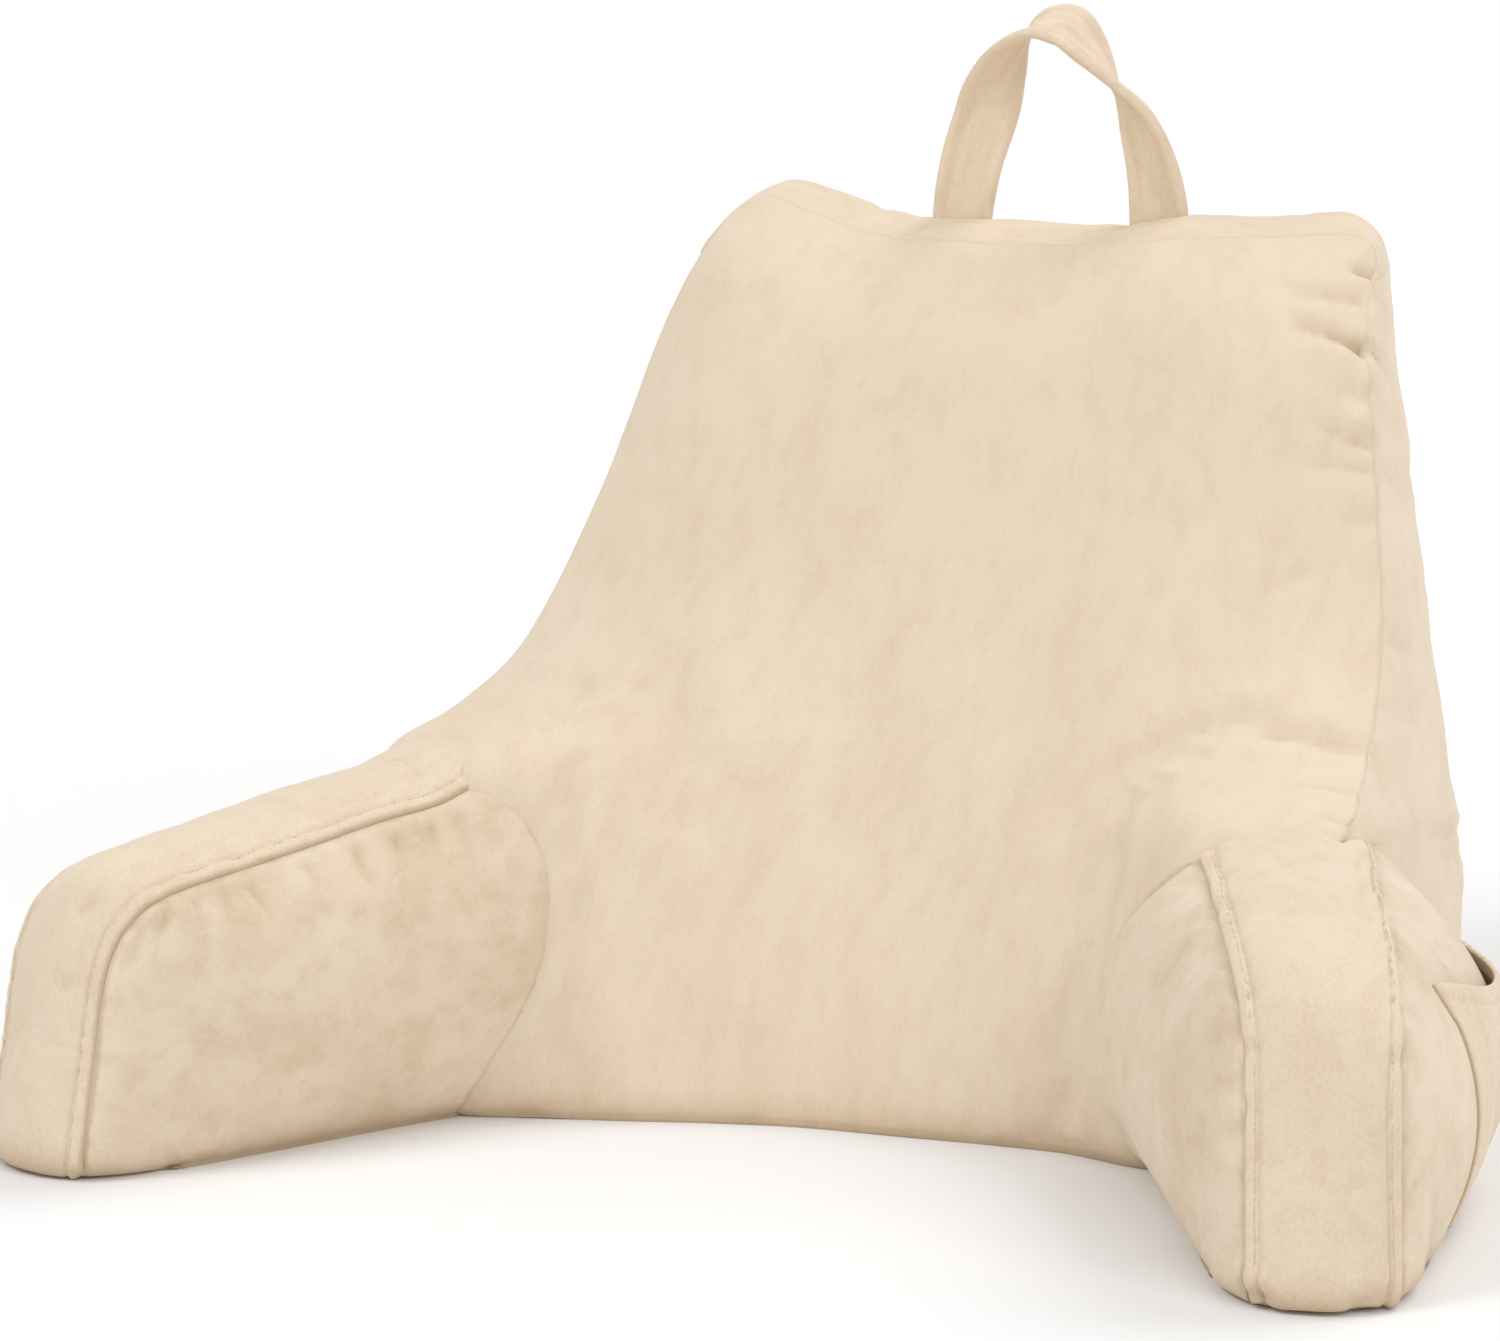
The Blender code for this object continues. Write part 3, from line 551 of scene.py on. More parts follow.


def creased(points, normals, creases):
    """Height to add along the normal, and the painted shade in each trough (0..1): for each
    crease, a bell-shaped trough round the segment, fading from its start to its end, and
    a weaker ridge above it. Distances are taken level with the surface."""
    height = np.zeros(len(points))
    parting_and_shade = np.zeros(len(points))
    above = np.array((0.0, 0.0, RIDGE_OFFSET))
    for crease in creases:
        start = crease[:3]
        along = crease[3:6] - start
        width, depth = crease[6:8]
        t = np.clip(((points - start) @ along) / (along @ along), 0.0, 1.0)
        away = points - (start + t[:, None] * along)
        lift = (away * normals).sum(1)
        near = np.abs(lift) < CREASE_REACH
        away = away - lift[:, None] * normals
        fade = depth * (1 - ease(t)) ** CREASE_FADE * near
        trough = bump(np.linalg.norm(away, axis=1), width)
        ridge = bump(np.linalg.norm(away - above * width, axis=1), width)
        height += fade * (RIDGE_SHARE * ridge - trough)
        # painted shade in the trough, stronger for deeper troughs
        parting_and_shade += fade / FULL_SHADE_DEPTH * trough ** 2
    return CREASE_GAIN * height, parting_and_shade.clip(0.0, 1.0)


# %% Distances to the seams
SEAM_WIDTH = 0.0026       # of the groove where two panels are sewn together
SEAM_DEPTH = 0.0009
SEAM_TONE = 0.25          # how far it darkens: the pile parting, and painted shade in the groove
GATHER = 0.0013           # height of the gathers beside a seam
GATHER_CLEAR = 0.004      # they start this far off it
GATHER_REACH = 0.017
LONG_GATHER = 0.0013      # long soft wrinkles that run in from the side seams
LONG_CLEAR = 0.006
LONG_REACH = 0.040
LONG_SLANT = 0.25         # how much they slope
TOP_GATHER_SHARE = 0.5    # the gathers under the top seam, as a share of the others
TOP_GATHER_SLANT = 0.6
TOP_CALM = 0.6            # the gusset's gathers are this much weaker over the top
SWELL = 0.0015            # slow unevenness of the stuffing
SWELL_CLEAR = (0.05, 0.04, 0.020)   # full this far off side seams, top seam, gusset edges
CREST = 0.42              # place of the top seam in the gusset, as a share of its width
LEFT_QUIET = 0.12         # the left side seam is pulled smoother than the right one
GROOVE_TOP = (0.45, 0.02)  # the side groove ends at this height, over this length
CREST_FROM = (0.42, 0.012)  # the seam climbs onto the crest from this height
# seeds of the ripples: the folds of one panel use the next few numbers as well
FRONT_SEED, BACK_SEED, GUSSET_SEED = 3, 5, 9
# wavelengths of the gathers along and off their seam, and of the swells
SIDE_WAVES = (0.021, 0.09)
LONG_WAVES = (0.036, 0.16)
TOP_WAVES = (0.026, 0.06)
PANEL_WAVES = (0.13, 0.15)
GUSSET_WAVES = (0.023, 0.07)
GUSSET_SWELL_WAVES = (0.12, 0.16)


def to_edge(run, axis):
    """Distance to the nearer end of each line of a grid."""
    return np.minimum(run, np.take(run, [-1], axis) - run)


def gathered(distance):
    """Strength of the gathers at a distance from the seam: none in the seam itself, full
    a few millimetres off and fading over 20 mm."""
    return ease(distance / GATHER_CLEAR) * np.exp(-distance / GATHER_REACH)


def stacked(*fields):
    """Three fields of one shape as the columns of a list of points."""
    return np.stack(fields, -1).reshape(-1, 3)


def backrest_folds(points, normals, up, across, through):
    """Height of the folds on the backrest along its normals, how far it darkens (the pile
    parting in seams, and painted shade in seams and creases), and the nap coordinates.

    A seam groove where two panels meet, gathers across the seams that die out over 20 mm,
    slow swells of the stuffing and the creases of the table. Over the top the seam lies
    on the crest of the gusset. The nap coordinates are metres across and along each
    panel, so that the pile's streaks follow the cut."""
    rows = len(up)
    columns = len(across)
    panel = rows * columns
    front = points[:panel].reshape(rows, columns, 3)
    back = points[panel:2 * panel].reshape(rows, columns, 3)
    height = np.zeros(len(points))
    parting_and_shade = np.zeros(len(points))
    nap = np.zeros((len(points), 3))
    loop = loop_of(np.arange(panel).reshape(rows, columns))
    strip = points[2 * panel:].reshape(len(through) - 2, -1, 3)
    wide = np.linalg.norm(strip[-1] - strip[0], axis=1)
    for place, grid, seed in ((0, front, FRONT_SEED), (panel, back, BACK_SEED)):
        run_across = steps_along(grid, 1)
        run_up = steps_along(grid, 0)
        to_side = to_edge(run_across, 1)
        crest = CREST * wide[loop >= panel - columns].mean()
        to_top = np.take(run_up, [-1], 0) - run_up + crest
        x, _, z = np.moveaxis(grid, -1, 0)
        quiet = np.where(x < 0, LEFT_QUIET, 1.0)
        groove = bump(to_side, SEAM_WIDTH) * ease((GROOVE_TOP[0] - z) / GROOVE_TOP[1])
        side_gather = GATHER * quiet * gathered(to_side) * ripple(
            seed, SIDE_WAVES, run_up, to_side)
        top_gather = TOP_GATHER_SHARE * GATHER * gathered(to_top) * ripple(
            seed + 1, TOP_WAVES, x + TOP_GATHER_SLANT * to_top, to_top)
        side_gather += (quiet * LONG_GATHER * ease(to_side / LONG_CLEAR)
                        * np.exp(-to_side / LONG_REACH)
                        * ripple(seed + 3, LONG_WAVES, run_up + LONG_SLANT * to_side, to_side))
        swell = (SWELL * ease(to_side / SWELL_CLEAR[0])
                 * ease((to_top - crest) / SWELL_CLEAR[1])
                 * ripple(seed + 2, PANEL_WAVES, x, z))
        height[place:place + panel] = (side_gather + top_gather + swell
                                       - SEAM_DEPTH * groove).ravel()
        # the seam groove darkens: partly the pile parting, partly painted shade
        parting_and_shade[place:place + panel] = groove.ravel()
        middle = run_across[:, [columns // 2]]
        nap[place:place + panel] = stacked(run_across - middle, run_up,
                                           np.full_like(run_up, seed))
    on_top = ease((strip[0, :, 2] - CREST_FROM[0]) / CREST_FROM[1])[None]
    t = through[1:-1, None]
    to_seam = np.minimum(np.abs(t - CREST * on_top), np.abs(1 - CREST * on_top - t)) * wide
    around = steps_along(strip[0])[None] + 0 * to_seam
    quiet = np.where(strip[..., 0] < 0, LEFT_QUIET, 1.0)
    off_edge = np.minimum(t, 1 - t) * wide
    gather = (GATHER * quiet * gathered(to_seam) * ease(off_edge / LONG_CLEAR)
              * ripple(GUSSET_SEED, GUSSET_WAVES, around, to_seam)) * (1 - TOP_CALM * on_top)
    swell = (SWELL * ease(off_edge / SWELL_CLEAR[2])
             * ripple(GUSSET_SEED + 1, GUSSET_SWELL_WAVES, around, strip[..., 1]))
    groove = bump(to_seam, SEAM_WIDTH)
    height[2 * panel:] = (gather + swell - SEAM_DEPTH * groove).ravel()
    # the gusset's seam groove darkens: partly the pile parting, partly painted shade
    parting_and_shade[2 * panel:] = groove.ravel()
    nap[2 * panel:] = stacked(strip[..., 1], around, np.full_like(around, GUSSET_SEED))
    creases, opened_and_shaded = creased(points, normals, BACKREST_CREASES)
    return height + creases, np.maximum(parting_and_shade * SEAM_TONE, opened_and_shaded), nap


print("creases on the backrest:", len(BACKREST_CREASES))

# %% [markdown]
# ## Arm surface
#
# An arm is a loaf: slices that stand on the floor like the pages of an open fan, upright
# at the root and tipping forward until the last ones form the rounded front. Each slice
# has a narrow crown under the strip, full bellies at both sides and a flat foot.

# %% Arm sizes
# the strip's middle line (along, height on the left and the right arm), the slice's foot,
# the strip's half width, then the inner and outer bellies and foot edges off the middle
#  along   top_l   top_r   keel    band   in     out    foot_in foot_out
ARM_ROWS = np.array([
    (-0.210, 0.110, 0.110, -0.210, 0.022, 0.026, 0.020, 0.020, 0.020),
    (-0.150, 0.160, 0.150, -0.150, 0.036, 0.052, 0.044, 0.040, 0.036),
    (-0.110, 0.174, 0.160, -0.110, 0.041, 0.076, 0.070, 0.054, 0.054),
    (-0.070, 0.1735, 0.161, -0.070, 0.042, 0.089, 0.088, 0.062, 0.066),
    (-0.030, 0.1645, 0.160, -0.030, 0.042, 0.092, 0.096, 0.064, 0.074),
    (0.010, 0.1610, 0.158, 0.010, 0.042, 0.088, 0.097, 0.061, 0.077),
    (0.050, 0.1555, 0.156, 0.050, 0.042, 0.082, 0.092, 0.058, 0.075),
    (0.090, 0.1500, 0.152, 0.088, 0.041, 0.075, 0.084, 0.056, 0.069),
    (0.125, 0.1455, 0.147, 0.116, 0.040, 0.069, 0.076, 0.054, 0.063),
    (0.155, 0.1400, 0.139, 0.134, 0.039, 0.063, 0.068, 0.053, 0.0595),
    (0.176, 0.1280, 0.128, 0.143, 0.038, 0.059, 0.061, 0.052, 0.057),
    (0.188, 0.1090, 0.110, 0.148, 0.037, 0.056, 0.057, 0.051, 0.055),
    (0.194, 0.0860, 0.088, 0.151, 0.037, 0.054, 0.0535, 0.051, 0.0535),
    (0.198, 0.0600, 0.060, 0.153, 0.037, 0.052, 0.0515, 0.050, 0.0525),
    (0.203, 0.0320, 0.032, 0.155, 0.037, 0.050, 0.050, 0.050, 0.0515),
    (0.206, 0.0100, 0.010, 0.156, 0.037, 0.049, 0.0485, 0.049, 0.050),
    (0.205, 0.0000, 0.000, 0.157, 0.036, 0.047, 0.046, 0.048, 0.048)])
UPPER_FULLNESS = 0.60     # the lower, the squarer the slice under the strip
LOWER_FULLNESS = 0.95     # and above the floor
BAND_CROWN = 0.014        # how far the strip's middle rises over its edges
# root point on the floor, degrees turned out from the front, stretch of the length
ARM_PLACES = {
    "arm_left": ((-0.2545, 0.0150), -23.4, 0.99),
    "arm_right": ((0.2605, 0.0480), 23.3, 1.10)}
# how far the backrest's seam draws in the inner side's belly, and how much fuller the
# outer side's belly is there, each with the place along and the reach of the change
ROOT_DRAWN = {"arm_left": 0.007, "arm_right": 0.0}
DRAWN_AT = 0.0
DRAWN_REACH = 0.060
ROOT_FULL = {"arm_left": 0.0, "arm_right": 0.012}
FULL_AT = -0.03
FULL_REACH = 0.055
BAND_FOOT = 0.004         # the strip ends this high above the floor

# %% Arm surface
def arm_frame(name):
    """Root point, unit directions along and outward, and stretch of one arm."""
    (root_x, root_y), turn, stretch = ARM_PLACES[name]
    angle = math.radians(turn)
    along = np.array((math.sin(angle), -math.cos(angle), 0.0))
    away = np.array((-along[1], along[0], 0.0)) * (1.0 if turn > 0 else -1.0)
    return np.array((root_x, root_y, 0.0)), along, away, stretch


# distance run along the strip's middle line for each row of the table
ARM_RUN = steps_along(ARM_ROWS[:, :2])


def run_at(along):
    """Run of the slice at a distance along: every row but the last moves forward."""
    return np.interp(along, ARM_ROWS[:-1, 0], ARM_RUN[:-1])


def arm_surface(name, run, across, up):
    """Point of the arm at (run, across, up), in the drafting frame.

    across -1..1 runs from the inner to the outer side, up 0..1 from foot to strip. The
    half width is the straight line from foot to strip, swollen to the belly by a sine
    raised to the fullness, and the crown is a parabola across the strip."""
    top_along, left_top, right_top, keel, band, belly_in, belly_out, foot_in, foot_out = (
        smooth(ARM_RUN, values, run) for values in ARM_ROWS.T)
    top_height = left_top if name == "arm_left" else right_top
    drawn = ROOT_DRAWN[name] * bump(run - run_at(DRAWN_AT), DRAWN_REACH)
    full = ROOT_FULL[name] * bump(run - run_at(FULL_AT), FULL_REACH)
    belly = np.where(across < 0, belly_in - drawn, belly_out + full)
    foot = np.where(across < 0, foot_in, foot_out)
    fullness = LOWER_FULLNESS + (UPPER_FULLNESS - LOWER_FULLNESS) * up
    swell = np.sin(np.pi * np.clip(up, 0, 1)) ** fullness
    half = foot + (band - foot) * up + (belly - (foot + band) / 2) * swell
    crown = BAND_CROWN * (1 - across ** 2) * up
    length = np.hypot(top_along - keel, top_height)
    share = up + crown / np.maximum(length, 1e-6)
    along = keel + (top_along - keel) * share
    height = np.maximum(top_height * share, 0.0)
    root, ahead, away, stretch = arm_frame(name)
    reach = np.where(along > 0, along * stretch, along)
    return (root + reach[..., None] * ahead + (across * half)[..., None] * away
            + height[..., None] * np.array((0.0, 0.0, 1.0)))


# %% Where an arm meets the backrest
PUFF_HEIGHT = 0.24        # half the height over which the front panel's puff is spread
ROOT_WITHIN = 0.06        # an arm has left the backrest this far along
ROOT_SAMPLES = 400


def inside_backrest(points):
    """Above 0 inside the backrest: the smaller of the depths behind the front panel and
    inside the side, both read from the same tables as the backrest itself."""
    x, y, z = np.moveaxis(points, -1, 0)
    z = np.clip(z, 0.0, TOP_HEIGHT)

    def by_side(table, left, right):
        return np.where(x < 0, column(table, left, z), column(table, right, z))

    foot = np.abs(1 - z / PUFF_HEIGHT) ** PUFF_UP * (z < PUFF_HEIGHT)
    across = np.abs(share_across(FRONT_PANEL, x, z)) ** PUFF_ACROSS
    behind_front = y - (front_depth(x, z) - PANEL_PUFF * (1 - across) * (1 - foot))
    side = by_side(FRONT_PANEL, 3, 9)
    t = np.clip((y - side) / (column(BACK_PANEL, 3, z) - side), 0.0, 1.0)
    half = by_side(FRONT_PANEL, 1, 2) * (1 - t) + by_side(BACK_PANEL, 1, 2) * t
    crown = ease(z / GUSSET_FROM) * 4 * GUSSET_CROWN * t * (1 - t)
    return np.minimum(behind_front, half + crown - np.abs(x))


def away_from(points, line):
    """Distance from each point to the nearest point of a fine line, and which one."""
    shape = points.shape[:-1]
    flat = points.reshape(-1, 3)
    square = ((flat ** 2).sum(1)[:, None] + (line ** 2).sum(1)[None] - 2 * flat @ line.T)
    which = square.argmin(1)
    least = np.sqrt(np.maximum(square[np.arange(len(flat)), which], 0.0))
    return least.reshape(shape), which.reshape(shape)


def root_run(name, across, up, inset, swell=0.0, seam=None):
    """Run at which each line of the arm leaves the backrest, inset a little into it: the
    last sample that is still inside, refined by a straight line to the next. With a seam
    given, the backrest swells beside it by the bell swell exp(-(d / reach)^2)."""
    run = np.linspace(0.0, run_at(ROOT_WITHIN), ROOT_SAMPLES)
    spots = arm_surface(name, run[:, None], across[None], up[None])
    depth = inside_backrest(spots) - inset
    if seam is not None:
        depth = depth + swell * bump(away_from(spots, seam)[0], SEAM_SWELL_REACH)
    inside = depth > 0
    last = len(run) - 2 - np.argmax(inside[-2::-1], axis=0)
    column_index = np.arange(len(across))
    here = depth[last, column_index]
    there = depth[last + 1, column_index]
    t = np.clip(here / np.maximum(here - there, 1e-9), 0.0, 1.0)
    return run[last] + t * (run[last + 1] - run[last])


# %% [markdown]
# The plain surfaces meet in a deep valley. On the real pillow both sides swell beside the
# seam, so it is a thin line on the left arm and a low step on the right one. Each arm has
# its own two swells: of the backrest and of the arm.

# %% Arm as one closed mesh
#  arm          backrest  arm
SEAM_SWELLS = {
    "arm_left": (0.0050, 0.0010),
    "arm_right": (0.0015, 0.0045)}
SEAM_SWELL_REACH = 0.020
SIDE_STEPS = 34           # steps up a slice's side, across its strip and its foot
BAND_STEPS = 18
FOOT_STEPS = 10
SIDE_PULL = 0.6           # how far the points crowd at the ends of the side
ARM_SLICES = 120
ROOT_INSET = 0.0030       # the arm's first ring lies this deep in the backrest
SEAM_POINTS = 301
SLICE_SHARES = crowded(ARM_SLICES, 0.5)


def arm_ring():
    """(across, up) round one slice: outer side up, strip inward, inner side down, foot."""
    rise = crowded(SIDE_STEPS, SIDE_PULL)
    outer = [(1.0, u) for u in rise]
    band = [(a, 1.0) for a in np.linspace(1, -1, BAND_STEPS + 1)[1:]]
    inner = [(-1.0, u) for u in rise[::-1][1:]]
    foot = [(a, 0.0) for a in np.linspace(-1, 1, FOOT_STEPS + 1)[1:-1]]
    return np.array(outer + band + inner + foot).T


def arm_seam(name, swell=0.0, seam=None):
    """The seam of an arm with the backrest, as a fine closed line of points."""
    across, up = arm_ring()
    line = arm_surface(name, root_run(name, across, up, 0.0, swell, seam), across, up)
    return read_evenly(np.concatenate([line, line[:1]]), np.linspace(0, 1, SEAM_POINTS))


def arm_rings(name):
    """Rings of points from the seam with the backrest to the front of the foot."""
    across, up = arm_ring()
    share = SLICE_SHARES[:, None]
    run = arm_starts[name] * (1 - share) + ARM_RUN[-1] * share
    return arm_surface(name, run, across[None], up[None])


plain_seams = {name: arm_seam(name) for name in ARM_PLACES}
arm_seams = {name: arm_seam(name, SEAM_SWELLS[name][0], plain_seams[name])
             for name in ARM_PLACES}
arm_starts = {name: root_run(name, *arm_ring(), ROOT_INSET, SEAM_SWELLS[name][0],
                             plain_seams[name]) for name in ARM_PLACES}
print("arm seams:", {name: round(float(steps_along(seam)[-1]), 3)
                     for name, seam in arm_seams.items()}, "m")

# %% Arm folds
# start at the seam, end, width, depth
ARM_CREASES = {
    "arm_left": np.array([
        (-0.276, -0.141, 0.135, -0.276, -0.157, 0.111, 0.0045, 0.0020),
        (-0.267, -0.126, 0.137, -0.257, -0.133, 0.111, 0.0045, 0.0018),
        (-0.258, -0.112, 0.139, -0.249, -0.120, 0.114, 0.0045, 0.0016),
        (-0.251, -0.096, 0.141, -0.233, -0.096, 0.114, 0.0050, 0.0022),
        (-0.233, -0.064, 0.145, -0.213, -0.072, 0.106, 0.0060, 0.0018),
        (-0.219, -0.036, 0.149, -0.200, -0.044, 0.116, 0.0060, 0.0020),
        (-0.209, -0.012, 0.153, -0.193, -0.022, 0.129, 0.0050, 0.0014),
        (-0.200, 0.011, 0.156, -0.185, -0.005, 0.131, 0.0050, 0.0020),
        (-0.193, 0.025, 0.158, -0.161, 0.011, 0.098, 0.0060, 0.0016),
        (-0.164, 0.018, 0.013, -0.172, 0.002, 0.006, 0.0055, 0.0045),
        (-0.167, 0.016, 0.008, -0.151, 0.022, 0.020, 0.0060, 0.0020),
        (-0.283, -0.156, 0.126, -0.285, -0.167, 0.105, 0.0050, 0.0014)]),
    "arm_right": np.array([
        (0.239, 0.018, 0.166, 0.182, 0.060, 0.139, 0.0070, 0.0012),
        (0.254, -0.030, 0.161, 0.189, 0.019, 0.117, 0.0080, 0.0014),
        (0.298, -0.140, 0.128, 0.266, -0.113, 0.104, 0.0070, 0.0014),
        (0.303, -0.155, 0.105, 0.275, -0.130, 0.091, 0.0060, 0.0012),
        (0.304, -0.161, 0.082, 0.273, -0.133, 0.063, 0.0070, 0.0012),
        (0.367, -0.105, 0.139, 0.374, -0.060, 0.113, 0.0060, 0.0012),
        (0.376, -0.127, 0.116, 0.382, -0.085, 0.095, 0.0060, 0.0012),
        (0.326, -0.179, 0.007, 0.310, -0.170, 0.008, 0.0050, 0.0028),
        (0.370, -0.167, 0.006, 0.384, -0.149, 0.010, 0.0050, 0.0022)])}
FOOT_ROUND = 0.011        # radius of the arm's edge on the floor
FOOT_CALM = 0.012         # the folds of an arm die out over this height above the floor
UNDER_BAND = 0.0012       # the arm is this much lower under its strip
# depth and half width of the groove where each arm meets the backrest
ROOT_GROOVES = {"arm_left": (0.0007, 0.0018), "arm_right": (0.0024, 0.0036)}
GROOVE_ON_STRIP = 0.4     # share of that groove on the strip's line
BAND_GROOVE = (0.0018, 0.0030)   # depth and half width of the pinch beside the strip
ARM_GATHER = 1.3          # an arm's gathers, as a share of the backrest's
ROOT_GATHER = 0.5
LOW_SWELL = (0.35, 0.05)  # share of the seam's swell on the floor, full from this height
ARM_BAND_WAVES = (0.019, 0.08)
ARM_ROOT_WAVES = (0.026, 0.07)
ARM_SWELL_WAVES = (0.09, 0.10)
ROOT_TONE = 0.64          # how far the grooves darken: the pile parting, and painted shade
BAND_TONE = 0.56
NAP_SLANT = 0.4           # the pile on an arm's sides leans forward by this slope


def arm_folds(name, points, normals, rings, seed):
    """Height of the folds on an arm along its normals, how far it darkens (the pile parting
    in grooves, and painted shade in grooves and creases), and the nap coordinates: a narrow
    groove in the seam with the backrest and the arm's swell beside it, the pinch beside the
    strip, gathers from both, slow swells and creases."""
    across, up = arm_ring()
    on_side = (np.abs(across) == 1.0) & (up < 1.0)
    from_root = steps_along(rings, 0)
    around = steps_along(np.concatenate([rings, rings[:, :1]], 1), 1)[:, :-1]
    edge_out = around[:, SIDE_STEPS][:, None]
    edge_in = around[:, SIDE_STEPS + BAND_STEPS][:, None]
    off_band = np.minimum(np.abs(around - edge_out), np.abs(around - edge_in))
    off_band = np.where(on_side[None], off_band, 0.0)
    off_seam = away_from(rings, arm_seams[name])[0]
    pinch, groove_width = ROOT_GROOVES[name]
    root_groove = bump(off_seam, groove_width) * np.where(up == 1.0, GROOVE_ON_STRIP, 1.0)
    band_groove = np.where(on_side[None], bump(off_band, BAND_GROOVE[1]), 0.0)
    low, full_from = LOW_SWELL
    lower_half = low + (1 - low) * ease(rings[..., 2] / full_from)
    gather = (ARM_GATHER * GATHER * gathered(off_band)
              * ripple(seed, ARM_BAND_WAVES, from_root, off_band))
    root_gather = (ROOT_GATHER * GATHER * gathered(off_seam)
                   * ripple(seed + 1, ARM_ROOT_WAVES, around, off_seam))
    swell = SWELL * ripple(seed + 2, ARM_SWELL_WAVES, from_root, around)
    height = (SEAM_SWELLS[name][1] * lower_half * bump(off_seam, SEAM_SWELL_REACH)
              - pinch * root_groove - BAND_GROOVE[0] * band_groove
              + np.where(on_side[None], gather + swell, -UNDER_BAND) + root_gather)
    height = height * ease(rings[..., 2] / FOOT_CALM)
    # the grooves darken: partly the pile parting, partly painted shade
    parting_and_shade = np.maximum(ROOT_TONE * root_groove, BAND_TONE * band_groove)
    height, parting_and_shade = (np.append(field, (0.0, 0.0)) for field in (height, parting_and_shade))
    creases, opened_and_shaded = creased(points, normals, ARM_CREASES[name])
    root, ahead, away, _ = arm_frame(name)
    level = (points - root) @ ahead
    nap = stacked(points[:, 2] + NAP_SLANT * level, level - NAP_SLANT * points[:, 2] + seed,
                  (points - root) @ away)
    return height + creases, np.maximum(parting_and_shade, opened_and_shaded), nap


def inside_loop(across, height, loop):
    """Even-odd rule: which places (across, height) lie inside a closed polygon."""
    after = np.roll(loop, -1, 0)
    rise = after[:, 1] - loop[:, 1]
    rise = np.where(np.abs(rise) < 1e-9, 1e-9, rise)
    crosses = (loop[:, 1] > height[:, None]) != (after[:, 1] > height[:, None])
    at = loop[:, 0] + (height[:, None] - loop[:, 1]) * (after[:, 0] - loop[:, 0]) / rise
    return (crosses & (across[:, None] < at)).sum(1) % 2 == 1


ARM_TOP = 0.26            # both arms lie below this height
ARM_REAR = -0.17          # and ahead of this place along


def beside_arms(points):
    """For each point of the backrest: distance to the nearer arm's seam, run along that
    seam, the backrest's swell there and whether the arm covers the point."""
    nearest = np.full(len(points), 1.0)
    run = np.zeros(len(points))
    swell = np.zeros(len(points))
    covered = np.zeros(len(points), bool)
    for name in ARM_PLACES:
        root, ahead, away, _ = arm_frame(name)
        seam = arm_seams[name]
        close = np.flatnonzero((points[:, 2] < ARM_TOP) & (points[:, 0] * root[0] > 0))
        nearest[close], which = away_from(points[close], seam)
        run[close] = which / (SEAM_POINTS - 1) * steps_along(seam)[-1]
        swell[close] = SEAM_SWELLS[name][0] * bump(
            away_from(points[close], plain_seams[name])[0], SEAM_SWELL_REACH)
        local = points[close] - root
        shape = np.stack([(seam - root) @ away, seam[:, 2]], 1)[:-1]
        under = inside_loop(local @ away, points[close, 2], shape)
        covered[close] = under & (local @ ahead > ARM_REAR)
    return nearest, run, swell, covered


for arm, begin in arm_starts.items():
    print(arm, "leaves the backrest between runs", begin.min().round(3), begin.max().round(3))

# %% [markdown]
# ## Cloth simulation
#
# A sewn case is tightest at its seams and loose between them, which is what cloth
# simulation is good at. A coarse copy of the body, a little slimmer than the finished one,
# is pinned along its seams and blown up for twenty frames. How far each point moved is
# capped and spread over the fine grid, so the seams stay sharp where a remesh would blur
# them.

# %% Cloth simulation
SIM_FRAMES = 20
CLOTH_RULES = {
    "quality": 5, "mass": 0.3, "tension_stiffness": 12.0, "compression_stiffness": 6.0,
    "shear_stiffness": 4.0, "bending_stiffness": 0.6, "use_pressure": True,
    "uniform_pressure_force": 4.0, "vertex_group_mass": "held", "pin_stiffness": 1.0}


def new_mesh(name, points, faces):
    """A mesh in the model's frame from points in the drafting frame."""
    mesh = bpy.data.meshes.new(name)
    mesh.from_pydata(placed(points).tolist(), [], faces)
    return mesh


def blown_up(name, points, faces, held, slack, cap):
    """How far each point moves when the body is filled: Cloth with pressure and no
    gravity, held where held is 1, its cloth larger than the shape by slack. The move is
    capped smoothly: cap * tanh(move / cap)."""
    mesh = new_mesh(name, points, faces)
    body = linked(name, mesh)
    group = body.vertex_groups.new(name="held")
    for level in np.unique(held.round(1)):
        picked = np.flatnonzero(held.round(1) == level)
        group.add(picked.tolist(), float(level), "REPLACE")
    cloth = body.modifiers.new("filling", "CLOTH")
    for rule, value in CLOTH_RULES.items():
        setattr(cloth.settings, rule, value)
    cloth.settings.effector_weights.gravity = 0.0
    cloth.settings.shrink_min = -slack
    cloth.collision_settings.use_collision = False
    cloth.point_cache.frame_start = 1
    cloth.point_cache.frame_end = SIM_FRAMES
    scene = bpy.context.scene
    for step in range(1, SIM_FRAMES + 1):
        scene.frame_set(step)
    filled = body.evaluated_get(bpy.context.evaluated_depsgraph_get()).to_mesh()
    spots = np.empty(3 * len(points))
    filled.vertices.foreach_get("co", spots)
    move = spots.reshape(-1, 3) - placed(points)
    bpy.data.objects.remove(body, do_unlink=True)
    bpy.data.meshes.remove(mesh)
    scene.frame_set(1)
    far = np.linalg.norm(move, axis=1)
    print(name, "filled: moved", (far.mean() * 1000).round(1), "mm on average, at most",
          (far.max() * 1000).round(1), "mm")
    return move * (cap * np.tanh(far / cap) / np.maximum(far, 1e-9))[:, None]


